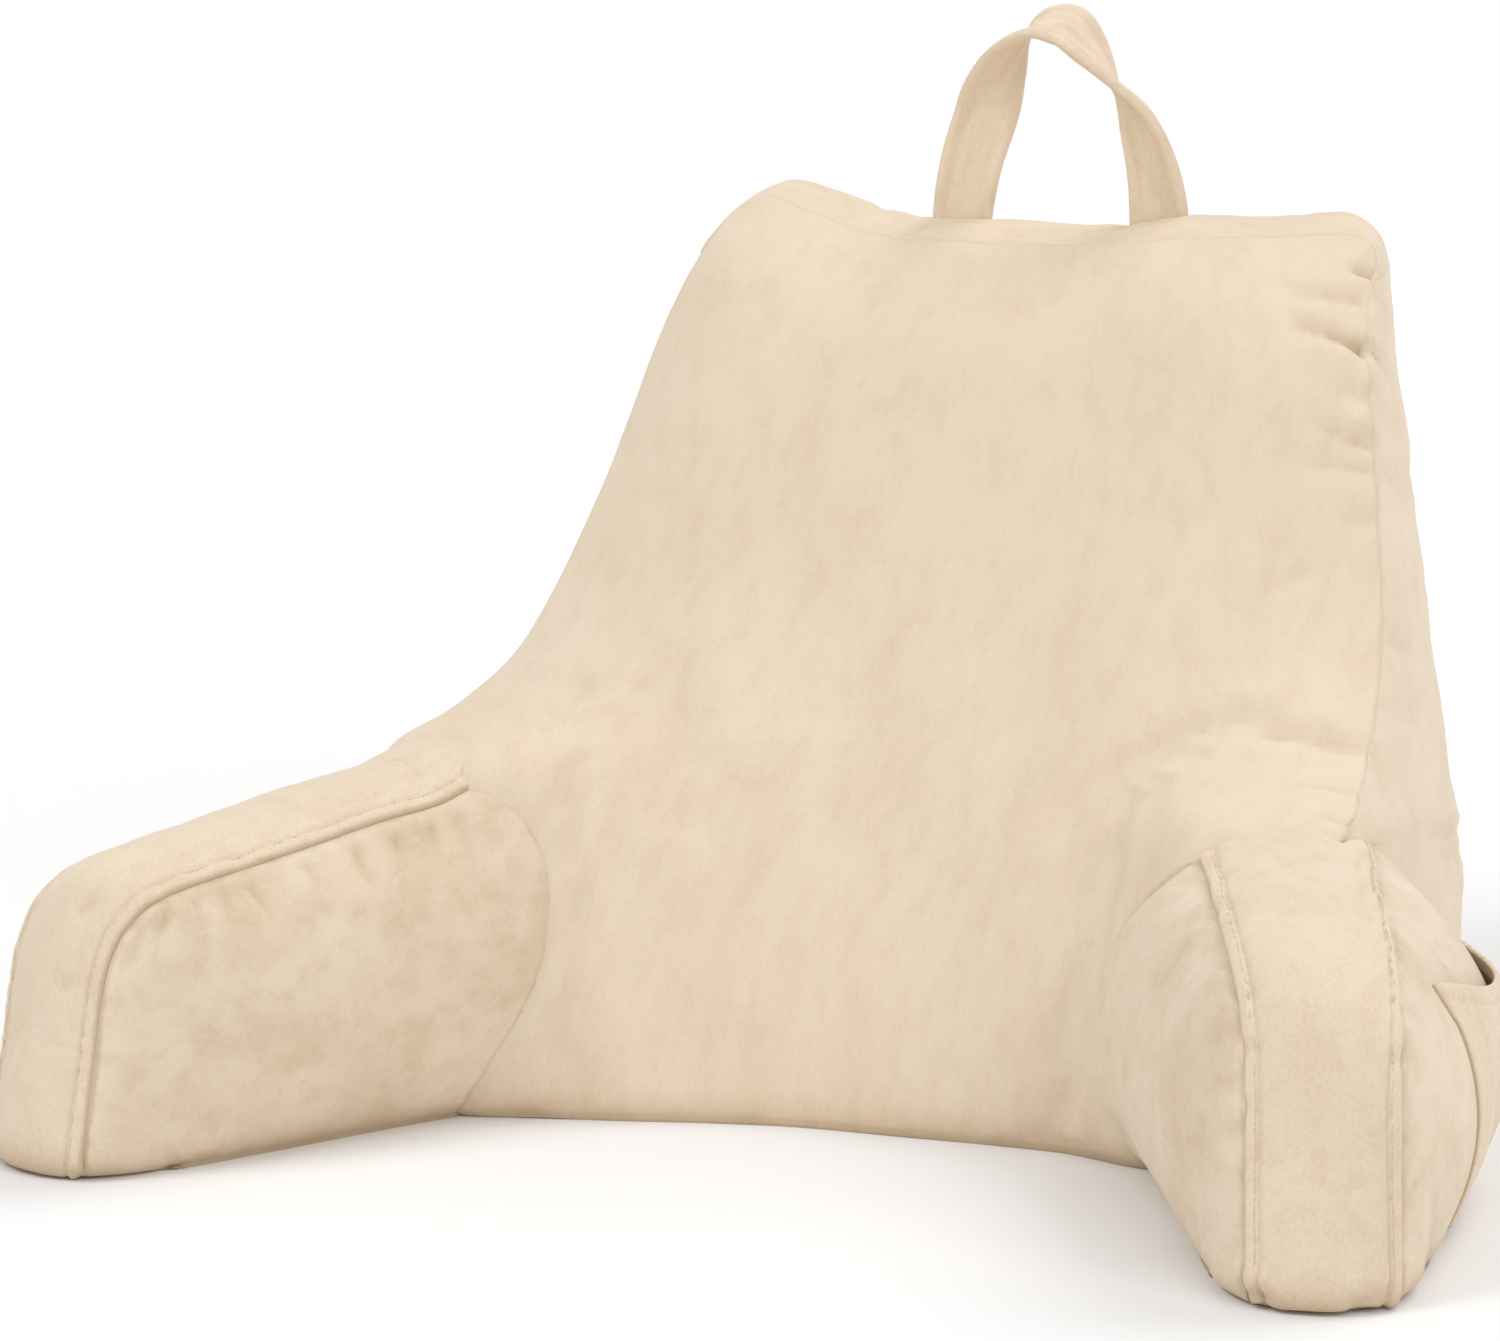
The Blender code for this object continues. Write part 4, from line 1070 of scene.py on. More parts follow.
def finer(field, axis):
    """A field on every second place brought to every place: the ones between take
    (-a + 9 b + 9 c - d) / 16 of their neighbours."""
    field = np.moveaxis(field, axis, 0)
    longer = np.concatenate([field[:1], field, field[-1:]])
    middle = (9 * (longer[1:-2] + longer[2:-1]) - longer[:-3] - longer[3:]) / 16
    out = np.empty((2 * len(field) - 1,) + field.shape[1:])
    out[::2] = field
    out[1::2] = middle
    return np.moveaxis(out, 0, axis)


print("simulation runs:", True)

# %% [markdown]
# ## Making a piece
#
# Every dressed piece goes into the scene the same way: its points and faces become a mesh
# at the origin, it rides on the pillow's one body and it takes the place of its solid.

# %% Pieces
dressed = {}


def make_piece(name, points, faces, node, nap, parting_and_shade=0.0):
    """A closed mesh piece at the origin that stands for a node of the solid model. nap
    holds each point's place across and along the pile, in metres, and the last argument how
    far the colour deepens there, 0 to 1: the pile parting in seams, and painted shade in
    seams, creases and near the floor."""
    mesh = new_mesh(name, points, faces)
    mesh.attributes.new("nap", "FLOAT_VECTOR", "POINT").data.foreach_set(
        "vector", np.asarray(nap, float).ravel())
    opened_and_shaded = np.clip(np.zeros(len(points)) + parting_and_shade, 0.0, 1.0)
    mesh.attributes.new("parting_and_shade", "FLOAT", "POINT").data.foreach_set("value", opened_and_shaded)
    mesh.shade_smooth()
    piece = linked(name, mesh)
    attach(piece, "root")
    if node:
        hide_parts(node)
    dressed[name] = piece
    print(name, "has", len(mesh.vertices), "points and", len(mesh.polygons), "faces")
    return piece


# %% Backrest cushion
BROAD_SHARE = 0.25        # of the simulated swell that is kept beside the wrinkles
BROAD_PASSES = 14         # averages that tell the swell from the wrinkles
WRINKLE_GAIN = 1.3
FREE_REACH = 0.025        # the cloth is free this far from an arm's seam
FLOOR_HELD = 0.004        # and held below this height
BACK_SLACK = 0.006
BACK_CAP = 0.006
ARM_SLACK = 0.004
ARM_CAP = 0.004
ARM_SEEDS = {"arm_left": 21, "arm_right": 31}


def broad(field, times):
    """A field on a grid with its wrinkles smoothed away: repeated 1-2-1 averages along
    both axes, the edges repeated."""
    for _ in range(times):
        for axis in (0, 1):
            line = np.moveaxis(field, axis, 0)
            line = np.concatenate([line[:1], line, line[-1:]])
            line = (line[:-2] + 2 * line[1:-1] + line[2:]) / 4
            field = np.moveaxis(line, 0, axis)
    return field


def wrinkled(field):
    """Simulated movement with its wrinkles kept and its broad swell damped."""
    swell = broad(field, BROAD_PASSES)
    return BROAD_SHARE * swell + WRINKLE_GAIN * (field - swell)


def backrest_move():
    """Movement of the filled backrest on its fine grids, from a run at half the grid."""
    up = BACK_UP[::2]
    across = BACK_ACROSS[::2]
    through = BACK_THROUGH[::2]
    points, quads = backrest_body(up, across, through)
    quads, = outward(points, quads)
    panel = len(up) * len(across)
    seam_away, _, _, covered = beside_arms(points)
    free = np.where(covered, 0.0, ease(seam_away / FREE_REACH))
    held = 1 - free
    loop = loop_of(np.arange(panel).reshape(len(up), len(across)))
    held[loop] = 1.0
    held[loop + panel] = 1.0
    held[points[:, 2] < FLOOR_HELD] = 1.0
    move = blown_up("backrest_filling", points, quads.tolist(), held, BACK_SLACK, BACK_CAP)
    front = move[:panel].reshape(len(up), len(across), 3)
    back = move[panel:2 * panel].reshape(len(up), len(across), 3)
    strip = move[2 * panel:].reshape(len(through) - 2, -1, 3)
    still = np.zeros((1,) + strip.shape[1:])
    strip = finer(np.concatenate([still, strip, still]), 0)
    strip = finer(np.concatenate([strip, strip[:, :1]], 1), 1)[1:-1, :-1]
    front = wrinkled(front) * free[:panel].reshape(len(up), len(across), 1)
    return np.concatenate([finer(finer(front, 0), 1).reshape(-1, 3),
                           finer(finer(wrinkled(back), 0), 1).reshape(-1, 3),
                           strip.reshape(-1, 3)])


# groove in the backrest along an arm's seam: depth, half width, how far it darkens, partly the
# pile parting and partly painted shade
ARM_PINCH = 0.0008
ARM_PINCH_WIDTH = 0.0030
ARM_PINCH_TONE = 0.3
ARM_SEAM_SEED = 13
ARM_SEAM_WAVES = (0.022, 0.06)
RIGHT_GATHER = 0.5        # share of the gathers beside the right arm; the left has none
EDGE_PASSES = 60          # the stuffing rounds the panel's top edge over about 10 mm
SIDE_ROUNDING = 0.30      # and its side edges less
TOP_ROUND = (0.012, 0.024)    # full rounding within the first, none past their sum
SIDE_ROUND = (0.004, 0.012)
BACK_FOOT_ROUND = 0.008
FLOOR_SHADE_HEIGHT = 0.030      # painted shade: a deeper tone below this height, darkest at the floor
FLOOR_SHADE_TONE = 0.75
FLOOR_SHADE_FADE = 1.5


def painted_floor_shade(points):
    """Share of the deep tone painted near the floor as shade."""
    return FLOOR_SHADE_TONE * (1 - ease(points[:, 2] / FLOOR_SHADE_HEIGHT)) ** FLOOR_SHADE_FADE


def near_edge(line, full, fade):
    """1 within full of a line of the backrest's points, dying out over fade."""
    return 1 - ease((away_from(back_points, line)[0] - full) / fade)


back_points = back_points + backrest_move()
front_rows = back_points[:len(BACK_UP) * len(BACK_ACROSS)].reshape(len(BACK_UP), -1, 3)
edge_weight = np.maximum.reduce([
    near_edge(front_rows[-1], *TOP_ROUND),
    SIDE_ROUNDING * near_edge(front_rows[:, 0], *SIDE_ROUND),
    SIDE_ROUNDING * near_edge(front_rows[:, -1], *SIDE_ROUND)])
back_points = relaxed(back_points, back_quads, edge_weight, EDGE_PASSES)
back_normals = vertex_normals(back_points, back_quads)
back_height, back_parting_and_shade, back_nap = backrest_folds(back_points, back_normals, BACK_UP,
                                                    BACK_ACROSS, BACK_THROUGH)
seam_away, seam_run, arm_swell, arm_covers = beside_arms(back_points)
arm_gather = (gathered(seam_away)
              * ripple(ARM_SEAM_SEED, ARM_SEAM_WAVES, seam_run, seam_away))
arm_groove = bump(seam_away, ARM_PINCH_WIDTH)
beside_right = np.where(back_points[:, 0] > 0, RIGHT_GATHER, 0.0)
beside = arm_swell + beside_right * GATHER * arm_gather - ARM_PINCH * arm_groove
back_height = np.where(arm_covers, arm_swell, back_height + beside)
back_skin = back_points + back_normals * back_height[:, None]
back_skin = feet_rounded(back_skin, back_normals, BACK_FOOT_ROUND)
# the groove beside each arm darkens (pile parting and painted shade), and painted shade is added
# near the floor
back_parting_and_shade = np.maximum(back_parting_and_shade, ARM_PINCH_TONE * arm_groove) + painted_floor_shade(back_skin)
backrest = make_piece("backrest_plush", back_skin, back_quads.tolist(), "back_cushion",
                      back_nap, back_parting_and_shade)

# %% Arms
def fill_arm(name, points, faces):
    """Movement of the filled arm, pinned at the root, the strip's edges and the foot."""
    across, up = arm_ring()
    edges = ((up == 1.0) & (np.abs(across) == 1.0)) | (up == 0.0)
    pinned = np.tile(edges, (ARM_SLICES + 1, 1))
    pinned[0] = True
    held = np.append(pinned, (True, True)).astype(float)
    return blown_up(name + "_filling", points, faces, held, ARM_SLACK, ARM_CAP)


arm_skins = {}
for arm, seed in ARM_SEEDS.items():
    rings = arm_rings(arm)
    points, quads, fans = capped(rings)
    quads, fans = outward(points, quads, fans)
    faces = quads.tolist() + fans.tolist()
    points = points + fill_arm(arm, points, faces)
    rings = points[:-2].reshape(rings.shape)
    normals = vertex_normals(points, quads)
    height, parting_and_shade, nap = arm_folds(arm, points, normals, rings, seed)
    skin = feet_rounded(points + normals * height[:, None], normals, FOOT_ROUND)
    arm_skins[arm] = skin[:-2].reshape(rings.shape)
    # the arm's deep tone takes painted shade near the floor on top of its grooves
    piece = make_piece(arm + "_plush", skin, faces, arm, nap,
                       parting_and_shade + painted_floor_shade(skin))

# %% [markdown]
# ## The strips over the arms
#
# One long strip of the same plush runs over each arm and down its front. Its raw edges are
# turned under and topstitched, so each edge is a flat hem about a millimetre high with a
# stitched furrow beside it. The strip is a sheet: its upper side carries the hem and the
# furrow, its under side follows the arm.

# %% Strip sheets
STRIP_THICK = 0.0022
STRIP_LIFT = 0.0004       # of the strip's under side off the arm
STRIP_LEAST = 0.0002      # the strip is nowhere thinner than this
ROLL_HEIGHT = 0.0009      # of the turned edge, which is flat on top
ROLL_UNEVEN = 0.35
ROLL_RISE = 0.0030        # it rises over this width
ROLL_END = (0.0026, 0.0034)   # and falls from this far ahead of the furrow, over this
FURROW = 0.0086           # from the edge to the stitched furrow
FURROW_DEPTH = 0.0009
FURROW_WIDTH = 0.0013
EDGE_WIDTH = 0.0022       # over which the cloth turns down at its edge
PUCKER = 0.0005           # of the cloth beside the stitches
PUCKER_WIDTH = 0.006
STRIP_SWELL = 0.0007      # of the cloth between the furrows, full this far off the edge
STRIP_SWELL_CLEAR = 0.012
ROLL_WAVES = (0.030, 9.0)
PUCKER_WAVES = (0.012, 9.0)
STRIP_SWELL_WAVES = (0.05, 0.06)
ROOT_TUCK = 0.005         # over this run the strip sinks into the seam at its root
TUCK_FADE = 1.5
# the strip's outer corner at the root stands back by this share of the arm's length
ROOT_SLANT = {"arm_left": 0.060, "arm_right": 0.0}
SLANT_BEND = 1.2          # how far the slanted end bows
STRIP_ROWS = 190
STRIP_COLUMNS = 64
STRIP_PULLS = (0.3, 0.55)     # how far its rows and columns crowd at its ends and edges
STRIP_SEEDS = {"arm_left": 41, "arm_right": 51}
# half widths of the darkening in the edge and in the furrow, the pile parting and painted shade,
# and its share there
EDGE_DARKENING = 0.0012
FURROW_DARKENING = 0.0009
FURROW_TONE = 0.45
STRIP_CREASES = {
    "arm_left": np.array([
        (-0.315, -0.158, 0.137, -0.303, -0.149, 0.145, 0.0080, 0.0016),
        (-0.320, -0.174, 0.098, -0.301, -0.175, 0.103, 0.0060, 0.0014),
        (-0.265, -0.092, 0.156, -0.251, -0.085, 0.148, 0.0070, 0.0010),
        (-0.245, -0.033, 0.168, -0.231, -0.036, 0.157, 0.0070, 0.0010),
        (-0.226, 0.034, 0.178, -0.207, 0.020, 0.167, 0.0070, 0.0010),
        (-0.302, -0.186, 0.002, -0.295, -0.182, 0.005, 0.0040, 0.0020)]),
    "arm_right": np.array([
        (0.222, 0.040, 0.164, 0.225, 0.055, 0.169, 0.0060, 0.0012),
        (0.298, -0.131, 0.141, 0.308, -0.132, 0.144, 0.0050, 0.0012),
        (0.307, -0.153, 0.122, 0.316, -0.154, 0.121, 0.0050, 0.0014),
        (0.311, -0.163, 0.096, 0.317, -0.163, 0.096, 0.0040, 0.0010),
        (0.265, 0.019, 0.173, 0.286, 0.067, 0.168, 0.0080, 0.0014),
        (0.294, -0.050, 0.168, 0.317, 0.004, 0.163, 0.0100, 0.0012)])}


def grid_normals(grid):
    """Unit normals of a grid of points, from the cross product of its two directions."""
    return unit(np.cross(np.gradient(grid, axis=0), np.gradient(grid, axis=1)))


def sheet_faces(rows, columns):
    """Quads of a closed sheet between two grids: both sides and the rim."""
    under = rows * columns
    upper = grid_quads(rows - 1, columns - 1, 0, True)
    lower = grid_quads(rows - 1, columns - 1, under)
    rim = loop_of(np.arange(under).reshape(rows, columns))
    after = np.roll(rim, -1)
    return np.concatenate([upper, lower, np.stack([rim, after, after + under, rim + under], 1)])


def make_sheet(name, upper, lower, node, nap, parting_and_shade):
    """A closed sheet between two grids of points; both its sides take the nap and the
    darkening of the upper one: the pile parting, and painted shade."""
    points = np.concatenate([upper.reshape(-1, 3), lower.reshape(-1, 3)])
    points[:, 2] = np.maximum(points[:, 2], 0.0)
    faces, = outward(points, sheet_faces(*upper.shape[:2]))
    return make_piece(name, points, faces.tolist(), node, np.tile(nap, (2, 1)),
                      np.tile(parting_and_shade, 2))


def skin_rows(shares):
    """Row places on an arm's skin for shares of the way from its root to its foot."""
    return np.interp(shares, SLICE_SHARES, np.arange(ARM_SLICES + 1))


def strip_base(name):
    """Grid over the top and the front of an arm, read from the arm's finished skin, with
    its outward normals. It ends BAND_FOOT above the floor."""
    across = 2 * crowded(STRIP_COLUMNS, STRIP_PULLS[1]) - 1
    columns = SIDE_STEPS + (1 - across) / 2 * BAND_STEPS
    skin = arm_skins[name]
    middle = skin[:, SIDE_STEPS + BAND_STEPS // 2]
    end = np.interp(BAND_FOOT, middle[::-1, 2], SLICE_SHARES[::-1])
    start = ROOT_SLANT[name] * ((1 + across) / 2) ** SLANT_BEND
    shares = start + (end - start) * crowded(STRIP_ROWS, STRIP_PULLS[0])[:, None]
    grid = cubic_at(skin, skin_rows(shares), columns + 0 * shares)
    normal = grid_normals(grid)
    return grid, normal if normal[2, STRIP_COLUMNS // 2, 2] > 0 else -normal


def strip_height(grid, seed):
    """Height of the strip's upper side over the arm, by the distance from its edge: low in
    the seam, up over the turned edge, down in the stitched furrow, then level."""
    run_across = steps_along(grid, 1)
    from_edge = to_edge(run_across, 1)
    from_root = steps_along(grid)

    def uneven(step, waves):
        return ripple(seed + step, waves, from_root, run_across)

    roll = (ROLL_HEIGHT * (1 + ROLL_UNEVEN * uneven(0, ROLL_WAVES))
            * ease(from_edge / ROLL_RISE)
            * (1 - ease((from_edge - FURROW + ROLL_END[0]) / ROLL_END[1])))
    furrow = FURROW_DEPTH * bump(from_edge - FURROW, FURROW_WIDTH)
    dip = (STRIP_THICK - STRIP_LEAST) * (1 - ease(from_edge / EDGE_WIDTH) ** 0.5)
    root = (STRIP_THICK + ROLL_HEIGHT) * (1 - ease(from_root / ROOT_TUCK)) ** TUCK_FADE
    pucker = PUCKER * bump(from_edge - FURROW, PUCKER_WIDTH) * uneven(1, PUCKER_WAVES)
    swell = STRIP_SWELL * uneven(2, STRIP_SWELL_WAVES) * ease(from_edge / STRIP_SWELL_CLEAR)
    height = STRIP_THICK + roll - furrow - dip - root + pucker + swell
    return STRIP_LIFT + np.maximum(height, STRIP_LEAST)


strip_tops = {}
for arm, seed in STRIP_SEEDS.items():
    grid, normal = strip_base(arm)
    upper = grid + normal * strip_height(grid, seed)[..., None]
    creases, opened_and_shaded = creased(upper.reshape(-1, 3), normal.reshape(-1, 3), STRIP_CREASES[arm])
    upper = upper + normal * creases.reshape(upper.shape[:2])[..., None]
    strip_tops[arm] = (upper, normal)
    run_along = steps_along(grid)
    run_across = steps_along(grid, 1)
    from_edge = to_edge(run_across, 1)
    # the edge and the furrow darken, partly the pile parting and partly painted shade; creases
    # and the foot take painted shade
    parting_and_shade = np.maximum(bump(from_edge, EDGE_DARKENING),
                        FURROW_TONE * bump(from_edge - FURROW, FURROW_DARKENING)).ravel()
    parting_and_shade = np.maximum(parting_and_shade, opened_and_shaded) + painted_floor_shade(upper.reshape(-1, 3))
    nap = stacked(run_across, run_along, np.full_like(run_along, seed))
    piece = make_sheet(arm + "_strip", upper, grid + normal * STRIP_LIFT, arm + "_band", nap,
                       parting_and_shade)
    width = float(run_across[:, -1].mean())

# %% [markdown]
# ## Topstitching
#
# The machine stitches that hold the strips' turned edges are short threads in the furrow.
# Each is a capsule of a few faces, and all of one strip's stitches are one piece.

# %% Topstitching
STITCH_LENGTH = 0.0027
STITCH_PITCH = 0.0034
STITCH_RADIUS = 0.00022
STITCH_SIDES = 6
STITCH_LIFT = 0.0001      # of the thread's middle line off the furrow
STITCH_START = 0.006      # the first stitch lies this far from the root
STITCH_END = 0.004        # and the last one this far from the foot
# places along a capsule and its thickness there, as shares of its length and radius
CAPSULE = np.array([(-0.5, 0.35), (-0.32, 0.95), (0.0, 1.0), (0.32, 0.95), (0.5, 0.35)])


def stitches_on(name):
    """Centres, directions and normals of the stitches along both furrows of a strip."""
    upper, normal = strip_tops[name]
    run_across = steps_along(upper, 1)
    rows = np.arange(len(upper))
    centres = []
    for distance in (run_across, run_across[:, -1:] - run_across):
        column_at = np.abs(distance - FURROW).argmin(1)
        line = upper[rows, column_at]
        run = steps_along(line)
        at = np.arange(STITCH_START, run[-1] - STITCH_END, STITCH_PITCH)
        spot = read_at(at, run, smoothed(line, 6))
        up = read_at(at, run, normal[rows, column_at])
        centres.append((spot, unit(np.gradient(spot, axis=0)), up))
    return [np.concatenate(part) for part in zip(*centres)]


def capsules(spot, ahead, up):
    """One small capsule along each direction: five rings, and a flat cap on each end."""
    beside = unit(np.cross(up, ahead))
    above = np.cross(ahead, beside)
    turn = np.linspace(0, 2 * np.pi, STITCH_SIDES, endpoint=False)[:, None]
    ring = np.cos(turn) * beside[:, None, None] + np.sin(turn) * above[:, None, None]
    stations = CAPSULE[None, :, None]
    points = (spot[:, None, None] + stations[..., :1] * STITCH_LENGTH * ahead[:, None, None]
              + stations[..., 1:] * STITCH_RADIUS * ring)
    numbers = np.arange(len(CAPSULE) * STITCH_SIDES).reshape(len(CAPSULE), STITCH_SIDES)
    shift = (np.arange(len(spot)) * numbers.size)[:, None, None]
    quads = ring_quads(numbers)[:, ::-1] + shift
    caps = np.stack([numbers[0][::-1], numbers[-1]]) + shift
    return (points.reshape(-1, 3),
            quads.reshape(-1, 4).tolist() + caps.reshape(-1, STITCH_SIDES).tolist())


for arm in ARM_PLACES:
    spot, ahead, up = stitches_on(arm)
    points, faces = capsules(spot + up * STITCH_LIFT, ahead, up)
    make_piece(arm + "_topstitch", points, faces, None, points)
    print(arm, "has", len(spot), "stitches")

# %% [markdown]
# ## Carry handle
#
# The strap is cloth folded on itself, about 36 mm wide. It leaves the top seam flat
# towards the sitter, twists on its way up and lies on edge at the top, so its front edge,
# with a stitched ridge, turns from the outer side into the lower one.

# %% Carry handle
STRAP_WIDTH = 0.036
STRAP_THICK = 0.0035
#  across   height   twist_deg
HANDLE_ROWS = np.array([
    (-0.0655, -0.020, 0.0),
    (-0.0645, 0.000, 2.0),
    (-0.0600, 0.026, 6.0),
    (-0.0515, 0.052, 15.0),
    (-0.0430, 0.0785, 52.0),
    (-0.0330, 0.0975, 88.0),
    (-0.0170, 0.1085, 112.0),
    (-0.0030, 0.1075, 122.0),
    (0.0090, 0.0960, 108.0),
    (0.0255, 0.0755, 74.0),
    (0.0400, 0.0525, 36.0),
    (0.0495, 0.0254, 14.0),
    (0.0535, 0.000, 3.0),
    (0.0540, -0.020, 0.0)])
HANDLE_BASE = 0.446       # height of the seam it leaves
HANDLE_BACK = 0.418       # how far back it stands
HANDLE_INSET = 0.012      # this much of each end of the path is left off
HANDLE_STEPS = 150
STRAP_SIDE = 26           # points across each face of the strap
STRAP_BEND = 0.0016       # how far its middle stands off its edges at the top
STRAP_FOLD = 0.0009
STRAP_WAVES = (0.055, 0.010)
# roll and furrow: height at the front edge and the back edge, place and half width
STRAP_ROLL = (0.0016, 0.0006, 0.0035, 0.0025)
STRAP_FURROW = (0.0013, 0.0006, 0.0078, 0.0016)
STRAP_ROUND = 0.0022      # radius of its folded edges
STRAP_CLEAR = 0.002       # the ridges start over this width
STRAP_SEED = 61


def handle_path(steps):
    """Middle line, width direction and face direction of the strap: the width direction
    turns from outward to toward the sitter by the twist."""
    run = steps_along(HANDLE_ROWS[:, :2])
    at = np.linspace(HANDLE_INSET, run[-1] - HANDLE_INSET, steps + 1)
    x, z, twist = (smooth(run, values, at) for values in HANDLE_ROWS.T)
    twist = np.radians(twist)[:, None]
    middle = smoothed(np.stack([x, np.full_like(x, HANDLE_BACK), z + HANDLE_BASE], 1), 12)
    ahead = unit(np.gradient(middle, axis=0))
    away = np.stack([-ahead[:, 2], np.zeros_like(x), ahead[:, 0]], 1)
    width = np.cos(twist) * away + np.sin(twist) * np.array((0.0, -1.0, 0.0))
    return middle, width, np.cross(ahead, width), at


def strap_section(at):
    """Shares -1..1 across the strap, the face's height over its middle plane at each, and
    the folds that move both faces. The faces are level but for round edges, and a roll
    and a stitched furrow near each edge, higher at the front edge."""
    s = np.linspace(-1, 1, STRAP_SIDE)
    off = np.abs(np.abs(s) - 1) * STRAP_WIDTH / 2

    def ridge(front, back, place, width):
        return np.where(s > 0, front, back) * bump(off - place, width)

    rounded = np.sqrt(1 - (1 - np.clip(off / STRAP_ROUND, 0, 1)) ** 2)
    level = (STRAP_THICK / 2 * rounded
             + (ridge(*STRAP_ROLL) - ridge(*STRAP_FURROW)) * ease(off / STRAP_CLEAR))
    folds = STRAP_FOLD * ripple(STRAP_SEED, STRAP_WAVES, at[:, None],
                                (s * STRAP_WIDTH / 2)[None])
    return s, level, folds


middle, width, face, at = handle_path(HANDLE_STEPS)
s, level, folds = strap_section(at)
bend = STRAP_BEND * (1 - s ** 2) * np.sin(np.pi * np.linspace(0, 1, len(at)))[:, None]
line = middle[:, None] + width[:, None] * (s * STRAP_WIDTH / 2)[None, :, None]
line = line + (folds + bend)[..., None] * face[:, None]
raised = face[:, None] * level[None, :, None]
loops = np.concatenate([line + raised, (line - raised)[:, -2:0:-1]], 1)
strap_points, strap_quads, strap_fans = capped(loops)
strap_quads, strap_fans = outward(strap_points, strap_quads, strap_fans)
strap_place = np.concatenate([s, s[-2:0:-1]]) * STRAP_WIDTH / 2
strap_nap = stacked(*np.broadcast_arrays(strap_place[None], at[:, None], 0.0))
strap_nap = np.concatenate([strap_nap, strap_nap[:1], strap_nap[-1:]])
handle = make_piece("carry_strap", strap_points, strap_quads.tolist() + strap_fans.tolist(),
                    "carry_handle", strap_nap)
strap_length = float(steps_along(middle)[-1])
print("strap length above and in the seam", round(strap_length, 3), "m")

# %% [markdown]
# ## Side pocket
#
# A single piece of cloth on the outer side of one arm, sewn down at both ends and at the
# foot. An elastic runs in the hem at its mouth, so the cloth below it stands in fine
# gathers and the mouth stands a little off the arm.

# %% Side pocket
POCKET_FRONT = 0.100      # its ends, as places along the arm
POCKET_REAR = -0.070
POCKET_MOUTH_FRONT = 0.86     # the mouth's ends and the foot, as shares of the arm's side
POCKET_MOUTH_REAR = 0.72
POCKET_BASE = 0.05
POCKET_STAND = 0.006      # how far the mouth stands off the arm
STAND_ALONG = 1.1         # the lower, the squarer the stand along the mouth
STAND_UP = 0.9            # the higher, the closer the stand keeps to the mouth
POCKET_SAG = 0.12
POCKET_GAP = 0.0004
POCKET_THICK = 0.002
POCKET_COLUMNS = 210
POCKET_ROWS = 70
POCKET_PULLS = (0.3, 0.4)     # how far they crowd at its edges
NORMAL_PASSES = 10        # averages that even out the way it stands off the arm
RIBS = (0.0008, 0.0002)   # height of the gathers at the mouth, over that at the foot
RIB_REACH = 0.035
RIB_WAVES = (0.0065, 0.09)
RIB_SEED = 71
RIB_ENDS = 0.008          # they die out over this distance from the ends
HEM = 0.010               # height of the elastic hem
HEM_CROWN = 0.0010        # its roundness, and the half width of that as a share of it
HEM_SHARE = 0.42
HEM_FURROW = (0.0008, 0.0012)
END_SEAM = (0.0012, 0.003)    # depth and half width of the sewn ends
# half width of the darkening at the sewn ends: the pile parting and painted shade
END_DARKENING = 0.0015
INNER_RELIEF = 0.6        # the inner side follows the outer one's relief by this share


def on_arm_side(name, run, up):
    """Places on an arm's outer skin for a run and a height share, by the skin's own grid,
    whose lines each start where they leave the backrest."""
    side = np.arange(SIDE_STEPS + 1)
    columns = np.interp(up, arm_ring()[1][side], side)
    start = np.interp(columns, side, arm_starts[name][side])
    return cubic_at(arm_skins[name], skin_rows((run - start) / (ARM_RUN[-1] - start)), columns)


def pocket_base():
    """Grid of the pocket on the arm's outer side: rows along, columns up to the mouth,
    which droops between its ends, and the cloth stands off the arm toward it."""
    along = crowded(POCKET_COLUMNS, POCKET_PULLS[0])
    up = crowded(POCKET_ROWS, POCKET_PULLS[1])
    run = run_at(POCKET_REAR) + (run_at(POCKET_FRONT) - run_at(POCKET_REAR)) * along
    sag = POCKET_SAG * np.sin(np.pi * along)
    mouth = POCKET_MOUTH_REAR + (POCKET_MOUTH_FRONT - POCKET_MOUTH_REAR) * along - sag
    height = POCKET_BASE + (mouth[:, None] - POCKET_BASE) * up[None]
    grid = on_arm_side("arm_right", run[:, None] + 0 * height, height)
    normal = grid_normals(grid)
    if (normal @ arm_frame("arm_right")[2]).mean() < 0:
        normal = -normal
    normal = unit(broad(normal, NORMAL_PASSES))
    stand = POCKET_STAND * np.sin(np.pi * along)[:, None] ** STAND_ALONG * up[None] ** STAND_UP
    return grid + normal * stand[..., None], normal


def pocket_height(grid):
    """Height of the gathers: ribs across the mouth, about 6 mm apart, that fade down the
    pocket, and the rounded hem with its stitched furrow."""
    run = steps_along(grid)
    climb = steps_along(grid, 1)
    from_mouth = climb[:, -1:] - climb
    off_end = to_edge(run, 0)
    ribs = ripple(RIB_SEED, RIB_WAVES, run, from_mouth)
    strength = RIBS[0] * np.exp(-from_mouth / RIB_REACH) + RIBS[1]
    hem = HEM_CROWN * bump(from_mouth - HEM / 2, HEM * HEM_SHARE)
    furrow = HEM_FURROW[0] * bump(from_mouth - HEM, HEM_FURROW[1])
    seam = END_SEAM[0] * bump(off_end, END_SEAM[1])
    return (ribs * strength + hem - furrow) * ease(off_end / RIB_ENDS) - seam


pocket_sheet, pocket_normal = pocket_base()
relief = pocket_height(pocket_sheet)
outer = pocket_sheet + pocket_normal * (POCKET_GAP + POCKET_THICK + relief)[..., None]
inner = pocket_sheet + pocket_normal * (POCKET_GAP + relief * INNER_RELIEF)[..., None]
run_wide = steps_along(pocket_sheet)
run_high = steps_along(pocket_sheet, 1)
# the sewn ends darken, partly the pile parting and partly painted shade
pocket = make_sheet("side_pocket_sheet", outer, inner, "side_pocket",
                    stacked(run_wide, run_high, np.ones_like(run_wide)),
                    bump(to_edge(run_wide, 0), END_DARKENING).ravel())

